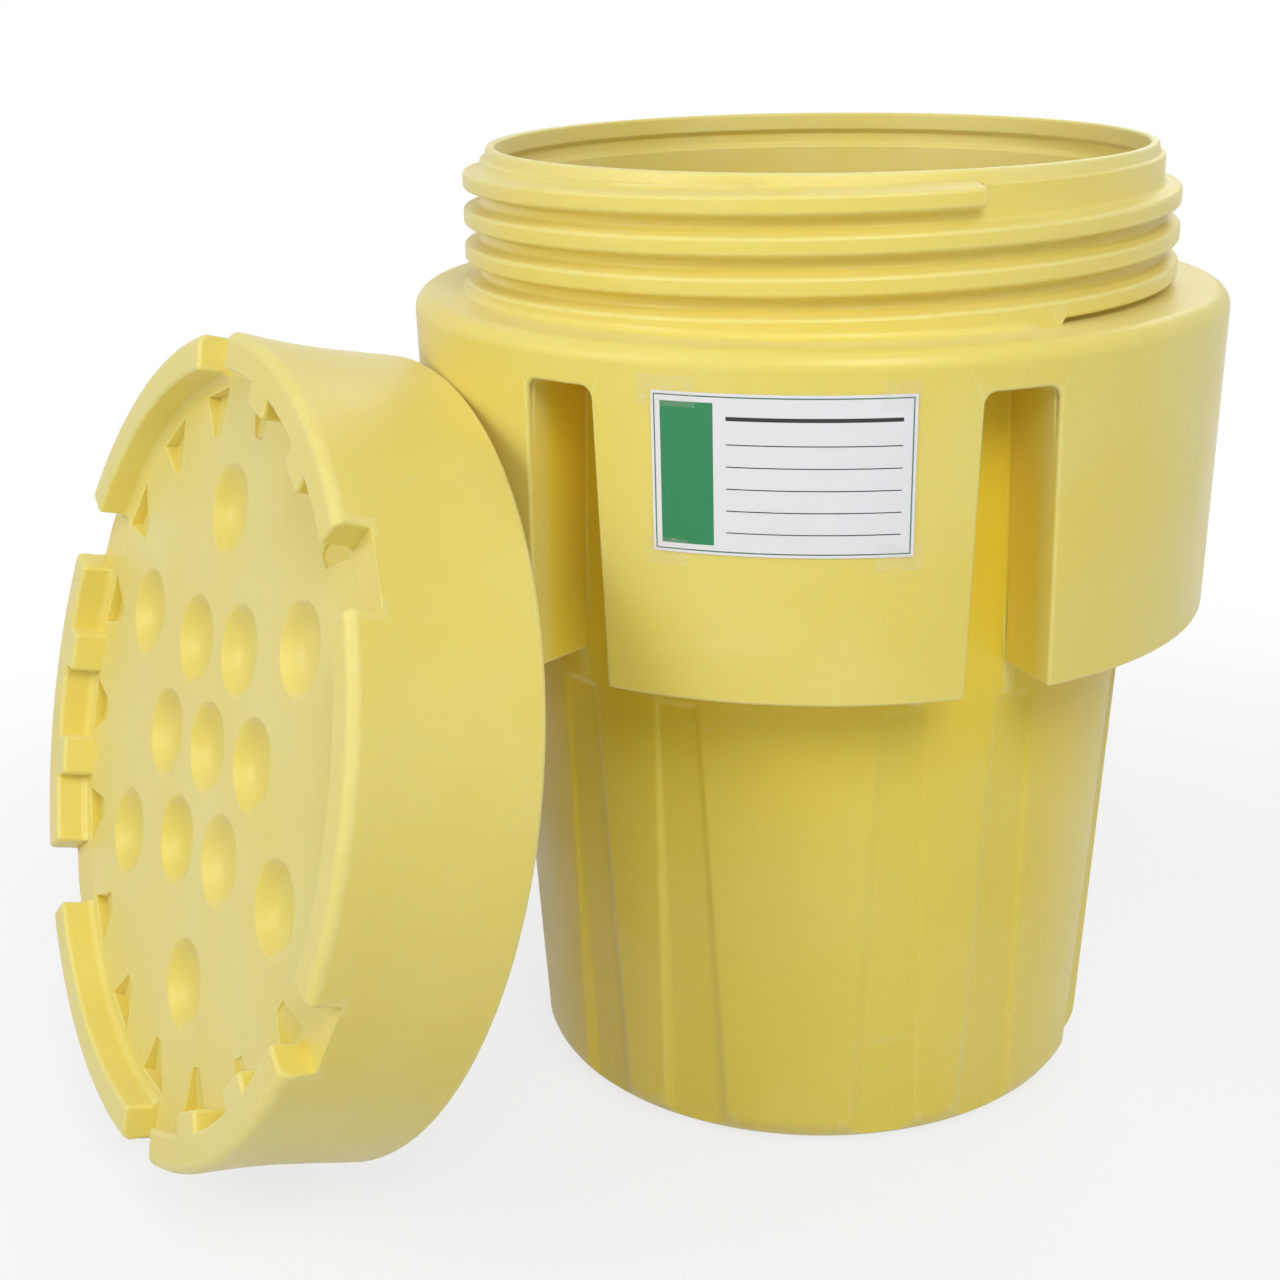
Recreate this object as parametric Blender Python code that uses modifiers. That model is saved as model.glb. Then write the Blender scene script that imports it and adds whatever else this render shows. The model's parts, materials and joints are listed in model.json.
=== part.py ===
"""Overpack salvage drum with a screw lid, the lid taken off and leaned against the drum.

Metres, +Z up. The origin is the centre of the drum's base and -Y is the side with the label.
"""
from math import atan2, ceil, cos, degrees, pi, radians, sin, sqrt, tan

import bmesh
import bpy
from mathutils import Matrix, Vector

# Drum: heights above the floor and outside radii
BASE_RADIUS = 0.263
BODY_TOP_RADIUS = 0.290
LEDGE_HEIGHT = 0.460
SKIRT_BOTTOM_RADIUS = 0.357
SHOULDER_RADIUS = 0.3645
DECK_HEIGHT = 0.745
NECK_RADIUS = 0.302
LIP_RADIUS = 0.296
MOUTH_RADIUS = 0.2885
RIM_HEIGHT = 0.868
LIP_OUTER_HEIGHT = 0.011
LIP_INNER_HEIGHT = 0.016
WALL = 0.0065
NECK_WALL = 0.008
NECK_GROOVE_DEPTH = 0.003
NECK_GROOVE_HEIGHT = 0.017
BASE_FILLET = 0.032
SHOULDER_FILLET = 0.016
CORNER_FILLET = 0.005
LIP_FILLET = 0.003

# Slots in the skirt, one between each pair of bulges, open at the ledge
SLOT_COUNT = 6
SLOT_TOP_WIDTH = 0.066
SLOT_BOTTOM_WIDTH = 0.078
SLOT_TOP_DROP = 0.036
SLOT_CORNER = 0.010
SLOT_STEP = 0.001

# Channels between the raised panels of the lower body
CHANNEL_TOP_ANGLES = (15.5, 23.5)
CHANNEL_BASE_ANGLES = (11.5, 25.7)
CHANNEL_TOP_DEPTH = 0.003
CHANNEL_BASE_DEPTH = 0.007
CHANNEL_LEDGE_GAP = 0.010

# Screw thread, right-handed with one start; its last turn stands on the deck and sinks into it
THREAD_PITCH = 0.031
THREAD_DEPTH = 0.0155
THREAD_ROOT_WIDTH = 0.021
THREAD_CREST_WIDTH = 0.014
THREAD_TOP_DROP = 0.019
THREAD_FILL_GAP = 0.005
THREAD_SINK = 0.0005
THREAD_SEAT_SHARE = 0.75
THREAD_END_BEARING = 27.7
THREAD_EMBED = 0.003

# Lid, measured from its open edge up
LID_HEIGHT = 0.1645
LID_SKIRT_THICKNESS = 0.0378
LID_WAIST = 0.0044
LID_WAIST_DROP = 0.068
LID_WAIST_BEND = 0.6
LID_TOP_FILLET = 0.009
LID_EDGE_FILLET = 0.006
THREAD_CLEARANCE = 0.0035
LID_THREAD_TURNS = 2.0
LID_THREAD_START = 0.014
LID_THREAD_BEARING = 4.0
LID_THREAD_ROOT_WIDTH = 0.011
LID_THREAD_CREST_WIDTH = 0.006

# Lid top: raised band with notches and lugs round a sunken field
FIELD_DEPTH = 0.030
TOP_THICKNESS = 0.025
BAND_WIDTH = 0.033
BAND_INNER_FILLET = 0.006
NOTCH_COUNT = 6
NOTCH_ANGLE = 11.0
NOTCH_BEARING = 40.0
NOTCH_SILL = 0.001
CUT_LEAD = 0.001
LUG_ANGLE = 7.0
LUG_SPREAD = 9.5
LUG_DEPTH = 0.018
LUG_DROP = 0.001
LUG_EMBED = 0.004
POCKET_COUNT = 18
POCKET_ANGLE = 10.0
POCKET_BEARING = 10.0
POCKET_LENGTH = 0.040
POCKET_MARGIN = 0.011
POCKET_DEPTH = 0.016
DIMPLE_RING_RADII = (0.1038, 0.208)
DIMPLE_RING_BEARINGS = (10.0, 40.0)
DIMPLE_COUNT = 6
DIMPLE_RADIUS = 0.040
DIMPLE_FLOOR_RADIUS = 0.026
DIMPLE_DEPTH = 0.018

# Gasket in a groove of the lid's sealing land
GASKET_WIDTH = 0.0165
GASKET_THICKNESS = 0.0062
GASKET_GROOVE_DEPTH = 0.003

# Where the lid leans: its top faces this bearing and leans back on the drum
LID_LEAN = 14.2
LID_BEARING = -141.1
LID_SIDE_OFFSET = -0.0847

# Label and the tape over its corners
LABEL_WIDTH = 0.205
LABEL_HEIGHT = 0.128
LABEL_TOP_DROP = 0.033
LABEL_THICKNESS = 0.0005
TAPE_THICKNESS = 0.0004
TAPE_OVERLAP = 0.012
TAPE_SIZES = {
    "label_tape_top_left": (0.048, 0.024),
    "label_tape_top_right": (0.030, 0.022),
    "label_tape_bottom_left": (0.034, 0.022),
    "label_tape_bottom_right": (0.036, 0.022),
}

# Clearances between pieces
SEAT_GAP = 0.0003
FLOOR_GAP = 0.0002
LEAN_GAP = 0.0004

# Facets
ROUND_STEPS = 60
THREAD_STEPS = 40
ARC_STEPS = 3
ARC_FACET = 0.006
DIMPLE_STEPS = 20
SHEET_STEP = 2.3
CUT_MARGIN = 0.020

# Sizes that follow from the ones above
FRONT = -pi / 2
THREAD_CREST_RADIUS = NECK_RADIUS + THREAD_DEPTH
LID_BORE_RADIUS = THREAD_CREST_RADIUS + THREAD_CLEARANCE
LID_THREAD_CREST_RADIUS = NECK_RADIUS + THREAD_CLEARANCE
LID_RADIUS = LID_BORE_RADIUS + LID_SKIRT_THICKNESS
BAND_INNER_RADIUS = LID_RADIUS - BAND_WIDTH
FIELD_HEIGHT = LID_HEIGHT - FIELD_DEPTH
LAND_HEIGHT = FIELD_HEIGHT - TOP_THICKNESS
GASKET_RADIUS = (LIP_RADIUS + MOUTH_RADIUS) / 2
SLOT_BACK = BODY_TOP_RADIUS + SLOT_STEP
SLOT_TOP = DECK_HEIGHT - SLOT_TOP_DROP

PARTS = "overpack_salvage_drum"
CUTTERS = "overpack_salvage_drum_cutters"

YELLOW = (0.80, 0.67, 0.16)
EPDM_GREY = (0.05, 0.05, 0.05)
PAPER = (0.88, 0.88, 0.86)
CLEAR_FILM = (0.86, 0.80, 0.48)


def clear_scene():
    for item in list(bpy.data.objects):
        bpy.data.objects.remove(item, do_unlink=True)


def make_collection(name):
    group = bpy.data.collections.new(name)
    bpy.context.scene.collection.children.link(group)
    return group


def make_material(name, colour, roughness):
    material = bpy.data.materials.new(name)
    material.use_nodes = True
    shader = material.node_tree.nodes["Principled BSDF"]
    shader.inputs["Base Color"].default_value = (*colour, 1.0)
    shader.inputs["Roughness"].default_value = roughness
    shader.inputs["Metallic"].default_value = 0.0
    return material


def add_object(name, mesh_builder, group, material=None):
    """One object from a bmesh; a piece without a material is a cutter."""
    mesh = bpy.data.meshes.new(name)
    mesh_builder.to_mesh(mesh)
    mesh_builder.free()
    item = bpy.data.objects.new(name, mesh)
    group.objects.link(item)
    if material:
        mesh.materials.append(material)
    else:
        item.hide_render = True
        item.display_type = "WIRE"
    return item


def boolean(item, cutter, operation):
    modifier = item.modifiers.new(cutter.name, "BOOLEAN")
    modifier.operation = operation
    modifier.solver = "EXACT"
    modifier.object = cutter


def shade_round(item):
    item.data.shade_smooth()
    item.data.set_sharp_from_angle(angle=radians(35))


def fillet_outline(corners):
    """Radius and height points of an outline whose corners (r, z, fillet) are rounded by arcs."""
    points = []
    for index, (radius, height, fillet) in enumerate(corners):
        here = Vector((radius, height))
        if fillet == 0:
            points.append(here)
            continue
        steps = min(ARC_STEPS, ceil(fillet / ARC_FACET))
        before = Vector(corners[index - 1][:2])
        after = Vector(corners[index + 1][:2])
        back = (before - here).normalized()
        ahead = (after - here).normalized()
        half = back.angle(ahead) / 2
        bisector = (back + ahead).normalized()
        centre = here + bisector * (fillet / sin(half))
        start = here + back * (fillet / tan(half)) - centre
        turn = start.angle_signed(here + ahead * (fillet / tan(half)) - centre)
        for step in range(steps + 1):
            angle = turn * step / steps
            arm = Matrix.Rotation(-angle, 2) @ start
            points.append(centre + arm)
    return points


def turned(name, outline, group, material, steps=ROUND_STEPS):
    """A turned piece: its outline at +X, swept round Z by a Screw modifier."""
    builder = bmesh.new()
    loop = [builder.verts.new((point[0], 0.0, point[1])) for point in outline]
    for first, second in zip(loop, loop[1:]):
        builder.edges.new((first, second))
    item = add_object(name, builder, group, material)
    screw = item.modifiers.new("turn", "SCREW")
    screw.steps = steps
    screw.render_steps = steps
    screw.use_merge_vertices = True
    screw.merge_threshold = 0.0001
    screw.use_smooth_shade = False
    return item


def skirt_radius(height):
    """Outside radius of the tapered skirt at a height."""
    share = (height - LEDGE_HEIGHT) / (DECK_HEIGHT - LEDGE_HEIGHT)
    return SKIRT_BOTTOM_RADIUS + share * (SHOULDER_RADIUS - SKIRT_BOTTOM_RADIUS)


def body_radius(height):
    """Outside radius of the raised panels of the lower body at a height."""
    share = height / LEDGE_HEIGHT
    return BASE_RADIUS + share * (BODY_TOP_RADIUS - BASE_RADIUS)


def drum_outline():
    inner_base = BASE_RADIUS - CHANNEL_BASE_DEPTH - WALL
    inner_body_top = BODY_TOP_RADIUS - CHANNEL_TOP_DEPTH - WALL
    neck_bore = NECK_RADIUS - NECK_WALL
    lip_foot = RIM_HEIGHT - LIP_INNER_HEIGHT
    groove_radius = neck_bore + NECK_GROOVE_DEPTH
    groove_foot = lip_foot - NECK_GROOVE_HEIGHT
    inside = [
        (0.0, WALL, 0.0),
        (inner_base, WALL, BASE_FILLET - WALL),
        (inner_body_top, LEDGE_HEIGHT + WALL, CORNER_FILLET + WALL),
        (SKIRT_BOTTOM_RADIUS - WALL, LEDGE_HEIGHT + WALL, CORNER_FILLET),
        (SHOULDER_RADIUS - WALL, DECK_HEIGHT - WALL, SHOULDER_FILLET - WALL),
        (neck_bore, DECK_HEIGHT - WALL, CORNER_FILLET),
        (neck_bore, groove_foot, 0.0),
        (groove_radius, groove_foot + NECK_GROOVE_DEPTH, 0.0),
        (groove_radius, lip_foot - (groove_radius - MOUTH_RADIUS), 0.0),
        (MOUTH_RADIUS, lip_foot, 0.0),
        (MOUTH_RADIUS, RIM_HEIGHT, LIP_FILLET),
    ]
    outside = [
        (LIP_RADIUS, RIM_HEIGHT, LIP_FILLET),
        (LIP_RADIUS, RIM_HEIGHT - LIP_OUTER_HEIGHT + (NECK_RADIUS - LIP_RADIUS), 0.0),
        (NECK_RADIUS, RIM_HEIGHT - LIP_OUTER_HEIGHT, 0.0),
        (NECK_RADIUS, DECK_HEIGHT, CORNER_FILLET),
        (SHOULDER_RADIUS, DECK_HEIGHT, SHOULDER_FILLET),
        (SKIRT_BOTTOM_RADIUS, LEDGE_HEIGHT, CORNER_FILLET),
        (BODY_TOP_RADIUS, LEDGE_HEIGHT, CORNER_FILLET),
        (BASE_RADIUS, 0.0, BASE_FILLET),
        (0.0, 0.0, 0.0),
    ]
    return fillet_outline(inside + outside)


def slot_outline(wall):
    """Front outline of a slot, or of the wall around it: (sideways, height) points."""
    top = SLOT_TOP + wall
    foot = LEDGE_HEIGHT + WALL / 2 if wall else LEDGE_HEIGHT - CUT_MARGIN
    half_top = SLOT_TOP_WIDTH / 2 + wall
    half_foot = SLOT_BOTTOM_WIDTH / 2 + wall
    corner = SLOT_CORNER + wall
    corners = [
        (-half_foot, foot, 0.0),
        (-half_top, top, corner),
        (half_top, top, corner),
        (half_foot, foot, 0.0),
    ]
    return fillet_outline(corners)


def slot_blocks(name, group, wall, near, far):
    """Blocks with the slot's outline, from radius near to radius far, at every slot."""
    builder = bmesh.new()
    for index in range(SLOT_COUNT):
        bearing = FRONT + 2 * pi * (index + 0.5) / SLOT_COUNT
        turn = Matrix.Rotation(bearing, 4, "Z")
        back = [builder.verts.new(turn @ Vector((near, side, height))) for side, height in slot_outline(wall)]
        face = builder.faces.new(back)
        swept = bmesh.ops.extrude_face_region(builder, geom=[face])["geom"]
        moved = [vert for vert in swept if isinstance(vert, bmesh.types.BMVert)]
        bmesh.ops.translate(builder, verts=moved, vec=turn @ Vector((far - near, 0.0, 0.0)))
    bmesh.ops.recalc_face_normals(builder, faces=builder.faces)
    return add_object(name, builder, group)


def channel_blocks(group):
    """Tapered blocks that cut the channels between the raised panels."""
    builder = bmesh.new()
    top = LEDGE_HEIGHT - CHANNEL_LEDGE_GAP
    foot = -CUT_MARGIN
    for index in range(SLOT_COUNT):
        centre = FRONT + 2 * pi * index / SLOT_COUNT
        for side in (-1, 1):
            cube = bmesh.ops.create_cube(builder, size=2.0)["verts"]
            for vert in cube:
                at_top = vert.co.z > 0
                height = top if at_top else foot
                angles = CHANNEL_TOP_ANGLES if at_top else CHANNEL_BASE_ANGLES
                depth = CHANNEL_TOP_DEPTH if at_top else CHANNEL_BASE_DEPTH
                bearing = centre + side * radians(angles[1] if vert.co.y > 0 else angles[0])
                radius = body_radius(height) + (CUT_MARGIN if vert.co.x > 0 else -depth)
                vert.co = (radius * cos(bearing), radius * sin(bearing), height)
    bmesh.ops.recalc_face_normals(builder, faces=builder.faces)
    return add_object("channel_cutters", builder, group)


def spin_ridge(section, start_angle, turns):
    """A thread ridge: its section (r, z), spun round Z while it climbs one pitch a turn."""
    builder = bmesh.new()
    turn = Matrix.Rotation(start_angle, 4, "Z")
    verts = [builder.verts.new(turn @ Vector((radius, 0.0, height))) for radius, height in section]
    face = builder.faces.new(verts)
    steps = ceil(turns * THREAD_STEPS)
    bmesh.ops.spin(
        builder,
        geom=[face] + list(face.edges) + verts,
        cent=(0.0, 0.0, 0.0),
        axis=(0.0, 0.0, 1.0),
        dvec=(0.0, 0.0, turns * THREAD_PITCH / steps),
        angle=turns * 2 * pi,
        steps=steps,
    )
    bmesh.ops.recalc_face_normals(builder, faces=builder.faces)
    return builder


def ridge_section(root_radius, crest_radius, root_width, crest_width, height):
    """Trapezoid section of a thread ridge, carried on past its root into the wall."""
    depth = crest_radius - root_radius
    embed = -THREAD_EMBED if depth > 0 else THREAD_EMBED
    flank = (crest_width - root_width) / depth
    foot_width = root_width + flank * embed
    foot_radius = root_radius + embed
    return [
        (foot_radius, height - foot_width / 2),
        (crest_radius, height - crest_width / 2),
        (crest_radius, height + crest_width / 2),
        (foot_radius, height + foot_width / 2),
    ]


def neck_thread(group):
    """The ridge round the neck; where it runs close over the deck it stands on it."""
    top = RIM_HEIGHT - THREAD_TOP_DROP
    foot = DECK_HEIGHT - THREAD_ROOT_WIDTH / 2 - THREAD_SINK
    turns = (top - foot) / THREAD_PITCH
    start = FRONT + radians(THREAD_END_BEARING) - turns * 2 * pi
    section = ridge_section(NECK_RADIUS, THREAD_CREST_RADIUS, THREAD_ROOT_WIDTH, THREAD_CREST_WIDTH, foot)
    builder = spin_ridge(section, start, turns)
    standing = DECK_HEIGHT + THREAD_CREST_WIDTH / 2 + THREAD_FILL_GAP
    seat = DECK_HEIGHT - THREAD_SEAT_SHARE * WALL
    for vert in builder.verts:
        part_turn = (atan2(vert.co.y, vert.co.x) - start) / (2 * pi) % 1
        climbed = part_turn + round((vert.co.z - foot) / THREAD_PITCH - part_turn)
        middle = foot + climbed * THREAD_PITCH
        if vert.co.z < middle < standing:
            vert.co.z = seat
    return add_object("neck_thread", builder, group)


def build_drum(parts, cutters, plastic):
    body = turned("drum_body", drum_outline(), parts, plastic)

    housing_far = skirt_radius(LEDGE_HEIGHT) - WALL / 2
    housings = slot_blocks("slot_housings", cutters, WALL, SLOT_BACK - WALL, housing_far)
    boolean(body, housings, "UNION")
    slots = slot_blocks("slot_cutters", cutters, 0.0, SLOT_BACK, SHOULDER_RADIUS + CUT_MARGIN)
    boolean(body, slots, "DIFFERENCE")
    boolean(body, channel_blocks(cutters), "DIFFERENCE")
    boolean(body, neck_thread(cutters), "UNION")
    shade_round(body)


def lid_outline():
    groove_inner = GASKET_RADIUS - GASKET_WIDTH / 2 - SEAT_GAP
    groove_outer = GASKET_RADIUS + GASKET_WIDTH / 2 + SEAT_GAP
    groove_top = LAND_HEIGHT + GASKET_GROOVE_DEPTH
    corners = [
        (0.0, FIELD_HEIGHT, 0.0),
        (BAND_INNER_RADIUS, FIELD_HEIGHT, BAND_INNER_FILLET),
        (BAND_INNER_RADIUS, LID_HEIGHT, BAND_INNER_FILLET),
        (LID_RADIUS, LID_HEIGHT, LID_TOP_FILLET),
        (LID_RADIUS - LID_WAIST, LID_HEIGHT - LID_WAIST_DROP, LID_WAIST_BEND),
        (LID_RADIUS, 0.0, LID_EDGE_FILLET),
        (LID_BORE_RADIUS, 0.0, LID_EDGE_FILLET),
        (LID_BORE_RADIUS, LAND_HEIGHT, CORNER_FILLET),
        (groove_outer, LAND_HEIGHT, 0.0),
        (groove_outer, groove_top, 0.0),
        (groove_inner, groove_top, 0.0),
        (groove_inner, LAND_HEIGHT, 0.0),
        (0.0, LAND_HEIGHT, 0.0),
    ]
    return fillet_outline(corners)


def sector_block(builder, bearing, angle, near, far, low, high, low_far=None):
    """A block between two radii and two heights; its floor may slope to low_far at the far end."""
    cube = bmesh.ops.create_cube(builder, size=2.0)["verts"]
    for vert in cube:
        radius = far if vert.co.x > 0 else near
        turn = radians(bearing) + radians(angle) / 2 * (1 if vert.co.y > 0 else -1)
        floor = low_far if low_far is not None and vert.co.x > 0 else low
        height = high if vert.co.z > 0 else floor
        vert.co = (radius * cos(turn), radius * sin(turn), height)


def notch_cutters(group):
    builder = bmesh.new()
    near = BAND_INNER_RADIUS - LUG_DEPTH
    for index in range(NOTCH_COUNT):
        bearing = NOTCH_BEARING + index * 360 / NOTCH_COUNT
        sector_block(builder, bearing, NOTCH_ANGLE, near, LID_RADIUS + CUT_MARGIN,
                     FIELD_HEIGHT + NOTCH_SILL, LID_HEIGHT + CUT_MARGIN)
    return add_object("notch_cutters", builder, group)


def lug_blocks(group):
    """Two lugs inside every second stretch of the band."""
    builder = bmesh.new()
    stretch = 360 / NOTCH_COUNT
    for index in range(0, NOTCH_COUNT, 2):
        middle = NOTCH_BEARING + stretch * (index + 0.5)
        for side in (-1, 1):
            sector_block(builder, middle + side * LUG_SPREAD, LUG_ANGLE,
                         BAND_INNER_RADIUS - LUG_DEPTH, BAND_INNER_RADIUS + BAND_WIDTH / 2,
                         FIELD_HEIGHT - LUG_EMBED, LID_HEIGHT - LUG_DROP)
    return add_object("lug_blocks", builder, group)


def pocket_cutters(group):
    """Wedge pockets whose floors slope down towards the band."""
    builder = bmesh.new()
    far = BAND_INNER_RADIUS - POCKET_MARGIN
    slope = POCKET_DEPTH / POCKET_LENGTH
    near = far - POCKET_LENGTH - CUT_LEAD / slope
    for index in range(POCKET_COUNT):
        bearing = POCKET_BEARING + index * 360 / POCKET_COUNT
        sector_block(builder, bearing, POCKET_ANGLE, near, far,
                     FIELD_HEIGHT + CUT_LEAD, FIELD_HEIGHT + CUT_MARGIN / 2,
                     FIELD_HEIGHT - POCKET_DEPTH)
    return add_object("pocket_cutters", builder, group)


def dimple_cutters(group):
    """Round tapered dimples: one in the middle and two rings."""
    builder = bmesh.new()
    flare = (DIMPLE_RADIUS - DIMPLE_FLOOR_RADIUS) / DIMPLE_DEPTH
    places = [(0.0, 0.0)]
    for ring_radius, first in zip(DIMPLE_RING_RADII, DIMPLE_RING_BEARINGS):
        for index in range(DIMPLE_COUNT):
            bearing = radians(first + index * 360 / DIMPLE_COUNT)
            places.append((ring_radius * cos(bearing), ring_radius * sin(bearing)))
    for x, y in places:
        middle = FIELD_HEIGHT + (CUT_LEAD - DIMPLE_DEPTH) / 2
        bmesh.ops.create_cone(
            builder,
            cap_ends=True,
            segments=DIMPLE_STEPS,
            radius1=DIMPLE_FLOOR_RADIUS,
            radius2=DIMPLE_RADIUS + flare * CUT_LEAD,
            depth=DIMPLE_DEPTH + CUT_LEAD,
            matrix=Matrix.Translation((x, y, middle)),
        )
    return add_object("dimple_cutters", builder, group)


def build_lid(parts, cutters, plastic):
    lid = turned("lid", lid_outline(), parts, plastic)
    boolean(lid, lug_blocks(cutters), "UNION")
    boolean(lid, notch_cutters(cutters), "DIFFERENCE")
    boolean(lid, pocket_cutters(cutters), "DIFFERENCE")
    boolean(lid, dimple_cutters(cutters), "DIFFERENCE")
    section = ridge_section(LID_BORE_RADIUS, LID_THREAD_CREST_RADIUS,
                            LID_THREAD_ROOT_WIDTH, LID_THREAD_CREST_WIDTH, LID_THREAD_START)
    ridge = spin_ridge(section, radians(LID_THREAD_BEARING), LID_THREAD_TURNS)
    boolean(lid, add_object("lid_thread", ridge, cutters), "UNION")
    for modifier in lid.modifiers:
        if modifier.type == "BOOLEAN":
            modifier.object.parent = lid
    shade_round(lid)
    return lid


def build_gasket(parts, rubber):
    top = LAND_HEIGHT + GASKET_GROOVE_DEPTH - SEAT_GAP
    inner = GASKET_RADIUS - GASKET_WIDTH / 2
    outer = GASKET_RADIUS + GASKET_WIDTH / 2
    outline = [(inner, top), (outer, top), (outer, top - GASKET_THICKNESS), (inner, top - GASKET_THICKNESS)]
    gasket = turned("lid_gasket", outline + outline[:1], parts, rubber)
    shade_round(gasket)
    return gasket


def lean_pivot():
    """Floor line that the leaning lid's top face passes through, set out from the drum.

    Returns the line's distance from the drum's axis and the slant height of the lid's top centre.
    """
    lean = radians(LID_LEAN)
    ring_radius = LID_RADIUS - LID_EDGE_FILLET
    ring_drop = LID_HEIGHT - LID_EDGE_FILLET
    slant = (ring_drop * sin(lean) + ring_radius * cos(lean) + LID_EDGE_FILLET) / cos(lean)
    envelope = drum_outline()
    reach = 0.0
    samples = 360
    arc = 8
    for step in range(samples):
        around = 2 * pi * step / samples
        for bend in range(arc + 1):
            tilt = pi / 2 * bend / arc
            radius = ring_radius + LID_EDGE_FILLET * cos(tilt)
            drop = ring_drop + LID_EDGE_FILLET * sin(tilt)
            sideways = LID_SIDE_OFFSET + radius * cos(around)
            rise = slant + radius * sin(around)
            height = rise * cos(lean) - drop * sin(lean) + FLOOR_GAP
            inward = rise * sin(lean) + drop * cos(lean)
            stop = outline_radius(envelope, height) + LEAN_GAP
            if abs(sideways) < stop:
                reach = max(reach, inward + sqrt(stop * stop - sideways * sideways))
    return reach, slant


def outline_radius(points, height):
    """Largest radius of an outline at a height."""
    radius = 0.0
    for first, second in zip(points, points[1:]):
        low, high = sorted((first, second), key=lambda point: point[1])
        if low[1] <= height <= high[1] and high[1] > low[1]:
            share = (height - low[1]) / (high[1] - low[1])
            radius = max(radius, low[0] + share * (high[0] - low[0]))
    return radius


def place_lid(parts, lid, gasket):
    """Leans the lid and its gasket on the drum, under an empty on the line it tips over."""
    reach, slant = lean_pivot()
    bearing = radians(LID_BEARING)
    lean = radians(LID_LEAN)
    across = Vector((-sin(bearing), cos(bearing), 0.0))
    outward = Vector((cos(bearing), sin(bearing), 0.0))
    pivot = bpy.data.objects.new("lid_tip_line", None)
    parts.objects.link(pivot)
    pivot.location = outward * reach + across * LID_SIDE_OFFSET + Vector((0.0, 0.0, FLOOR_GAP))
    pivot.rotation_euler = (0.0, 0.0, bearing + pi / 2)
    rise = Vector((0.0, sin(lean), cos(lean))) * slant
    inward = Vector((0.0, cos(lean), -sin(lean))) * LID_HEIGHT
    for item in (lid, gasket):
        item.parent = pivot
        item.location = rise + inward
        item.rotation_euler = (pi / 2 - lean, 0.0, 0.0)


def curved_sheet(name, group, material, sides, heights, gap, thickness):
    """A thin sheet wrapped on the skirt between two sideways distances and two heights."""
    low, high = heights
    middle = skirt_radius((low + high) / 2)
    first, last = (side / middle for side in sides)
    steps = max(2, ceil(degrees(last - first) / SHEET_STEP))
    inner = [(skirt_radius(high) + gap, high), (skirt_radius(low) + gap, low)]
    outer = [(radius + thickness, height) for radius, height in inner]
    builder = bmesh.new()
    turn = Matrix.Rotation(FRONT + first, 4, "Z")
    section = [inner[0], outer[0], outer[1], inner[1]]
    verts = [builder.verts.new(turn @ Vector((radius, 0.0, height))) for radius, height in section]
    face = builder.faces.new(verts)
    bmesh.ops.spin(
        builder,
        geom=[face] + list(face.edges) + verts,
        cent=(0.0, 0.0, 0.0),
        axis=(0.0, 0.0, 1.0),
        dvec=(0.0, 0.0, 0.0),
        angle=last - first,
        steps=steps,
    )
    bmesh.ops.recalc_face_normals(builder, faces=builder.faces)
    return add_object(name, builder, group, material)


def build_label(parts, paper, film):
    top = DECK_HEIGHT - LABEL_TOP_DROP
    foot = top - LABEL_HEIGHT
    half = LABEL_WIDTH / 2
    curved_sheet("label", parts, paper, (-half, half), (foot, top), SEAT_GAP, LABEL_THICKNESS)
    tape_gap = SEAT_GAP + LABEL_THICKNESS + SEAT_GAP
    for name, (width, height) in TAPE_SIZES.items():
        if name.endswith("left"):
            sides = (TAPE_OVERLAP - half - width / 2, TAPE_OVERLAP - half + width / 2)
        else:
            sides = (half - TAPE_OVERLAP - width / 2, half - TAPE_OVERLAP + width / 2)
        if "top" in name:
            heights = (top - height / 2, top + height / 2)
        else:
            heights = (foot - height / 2, foot + height / 2)
        curved_sheet(name, parts, film, sides, heights, tape_gap, TAPE_THICKNESS)


def main():
    clear_scene()
    parts = make_collection(PARTS)
    cutters = make_collection(CUTTERS)
    drum_plastic = make_material("drum_polyethylene", YELLOW, 0.45)
    lid_plastic = make_material("lid_polyethylene", YELLOW, 0.45)
    rubber = make_material("gasket_rubber", EPDM_GREY, 0.7)
    paper = make_material("label_paper", PAPER, 0.55)
    film = make_material("tape_film", CLEAR_FILM, 0.2)
    build_drum(parts, cutters, drum_plastic)
    lid = build_lid(parts, cutters, lid_plastic)
    gasket = build_gasket(parts, rubber)
    place_lid(parts, lid, gasket)
    build_label(parts, paper, film)


main()
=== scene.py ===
import json
from math import atan2, cos, hypot, inf, pi, radians, sin, tan

import bmesh
import bpy
from mathutils import Matrix, Vector


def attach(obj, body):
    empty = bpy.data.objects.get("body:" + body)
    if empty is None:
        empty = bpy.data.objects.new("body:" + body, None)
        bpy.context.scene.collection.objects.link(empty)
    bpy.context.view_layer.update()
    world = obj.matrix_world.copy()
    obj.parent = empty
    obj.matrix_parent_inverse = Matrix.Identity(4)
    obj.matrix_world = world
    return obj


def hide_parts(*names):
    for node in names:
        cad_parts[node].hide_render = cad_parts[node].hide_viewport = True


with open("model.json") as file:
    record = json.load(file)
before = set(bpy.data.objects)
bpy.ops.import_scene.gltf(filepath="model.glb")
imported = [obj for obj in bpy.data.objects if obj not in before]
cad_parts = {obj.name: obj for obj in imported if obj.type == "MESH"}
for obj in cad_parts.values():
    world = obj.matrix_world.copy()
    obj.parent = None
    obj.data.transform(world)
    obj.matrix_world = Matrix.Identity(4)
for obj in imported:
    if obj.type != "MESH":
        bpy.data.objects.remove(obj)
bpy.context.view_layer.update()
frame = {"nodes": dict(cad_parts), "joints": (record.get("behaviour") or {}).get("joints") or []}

print("frame loaded:", sorted(frame["nodes"]))


# Hand tools

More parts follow.
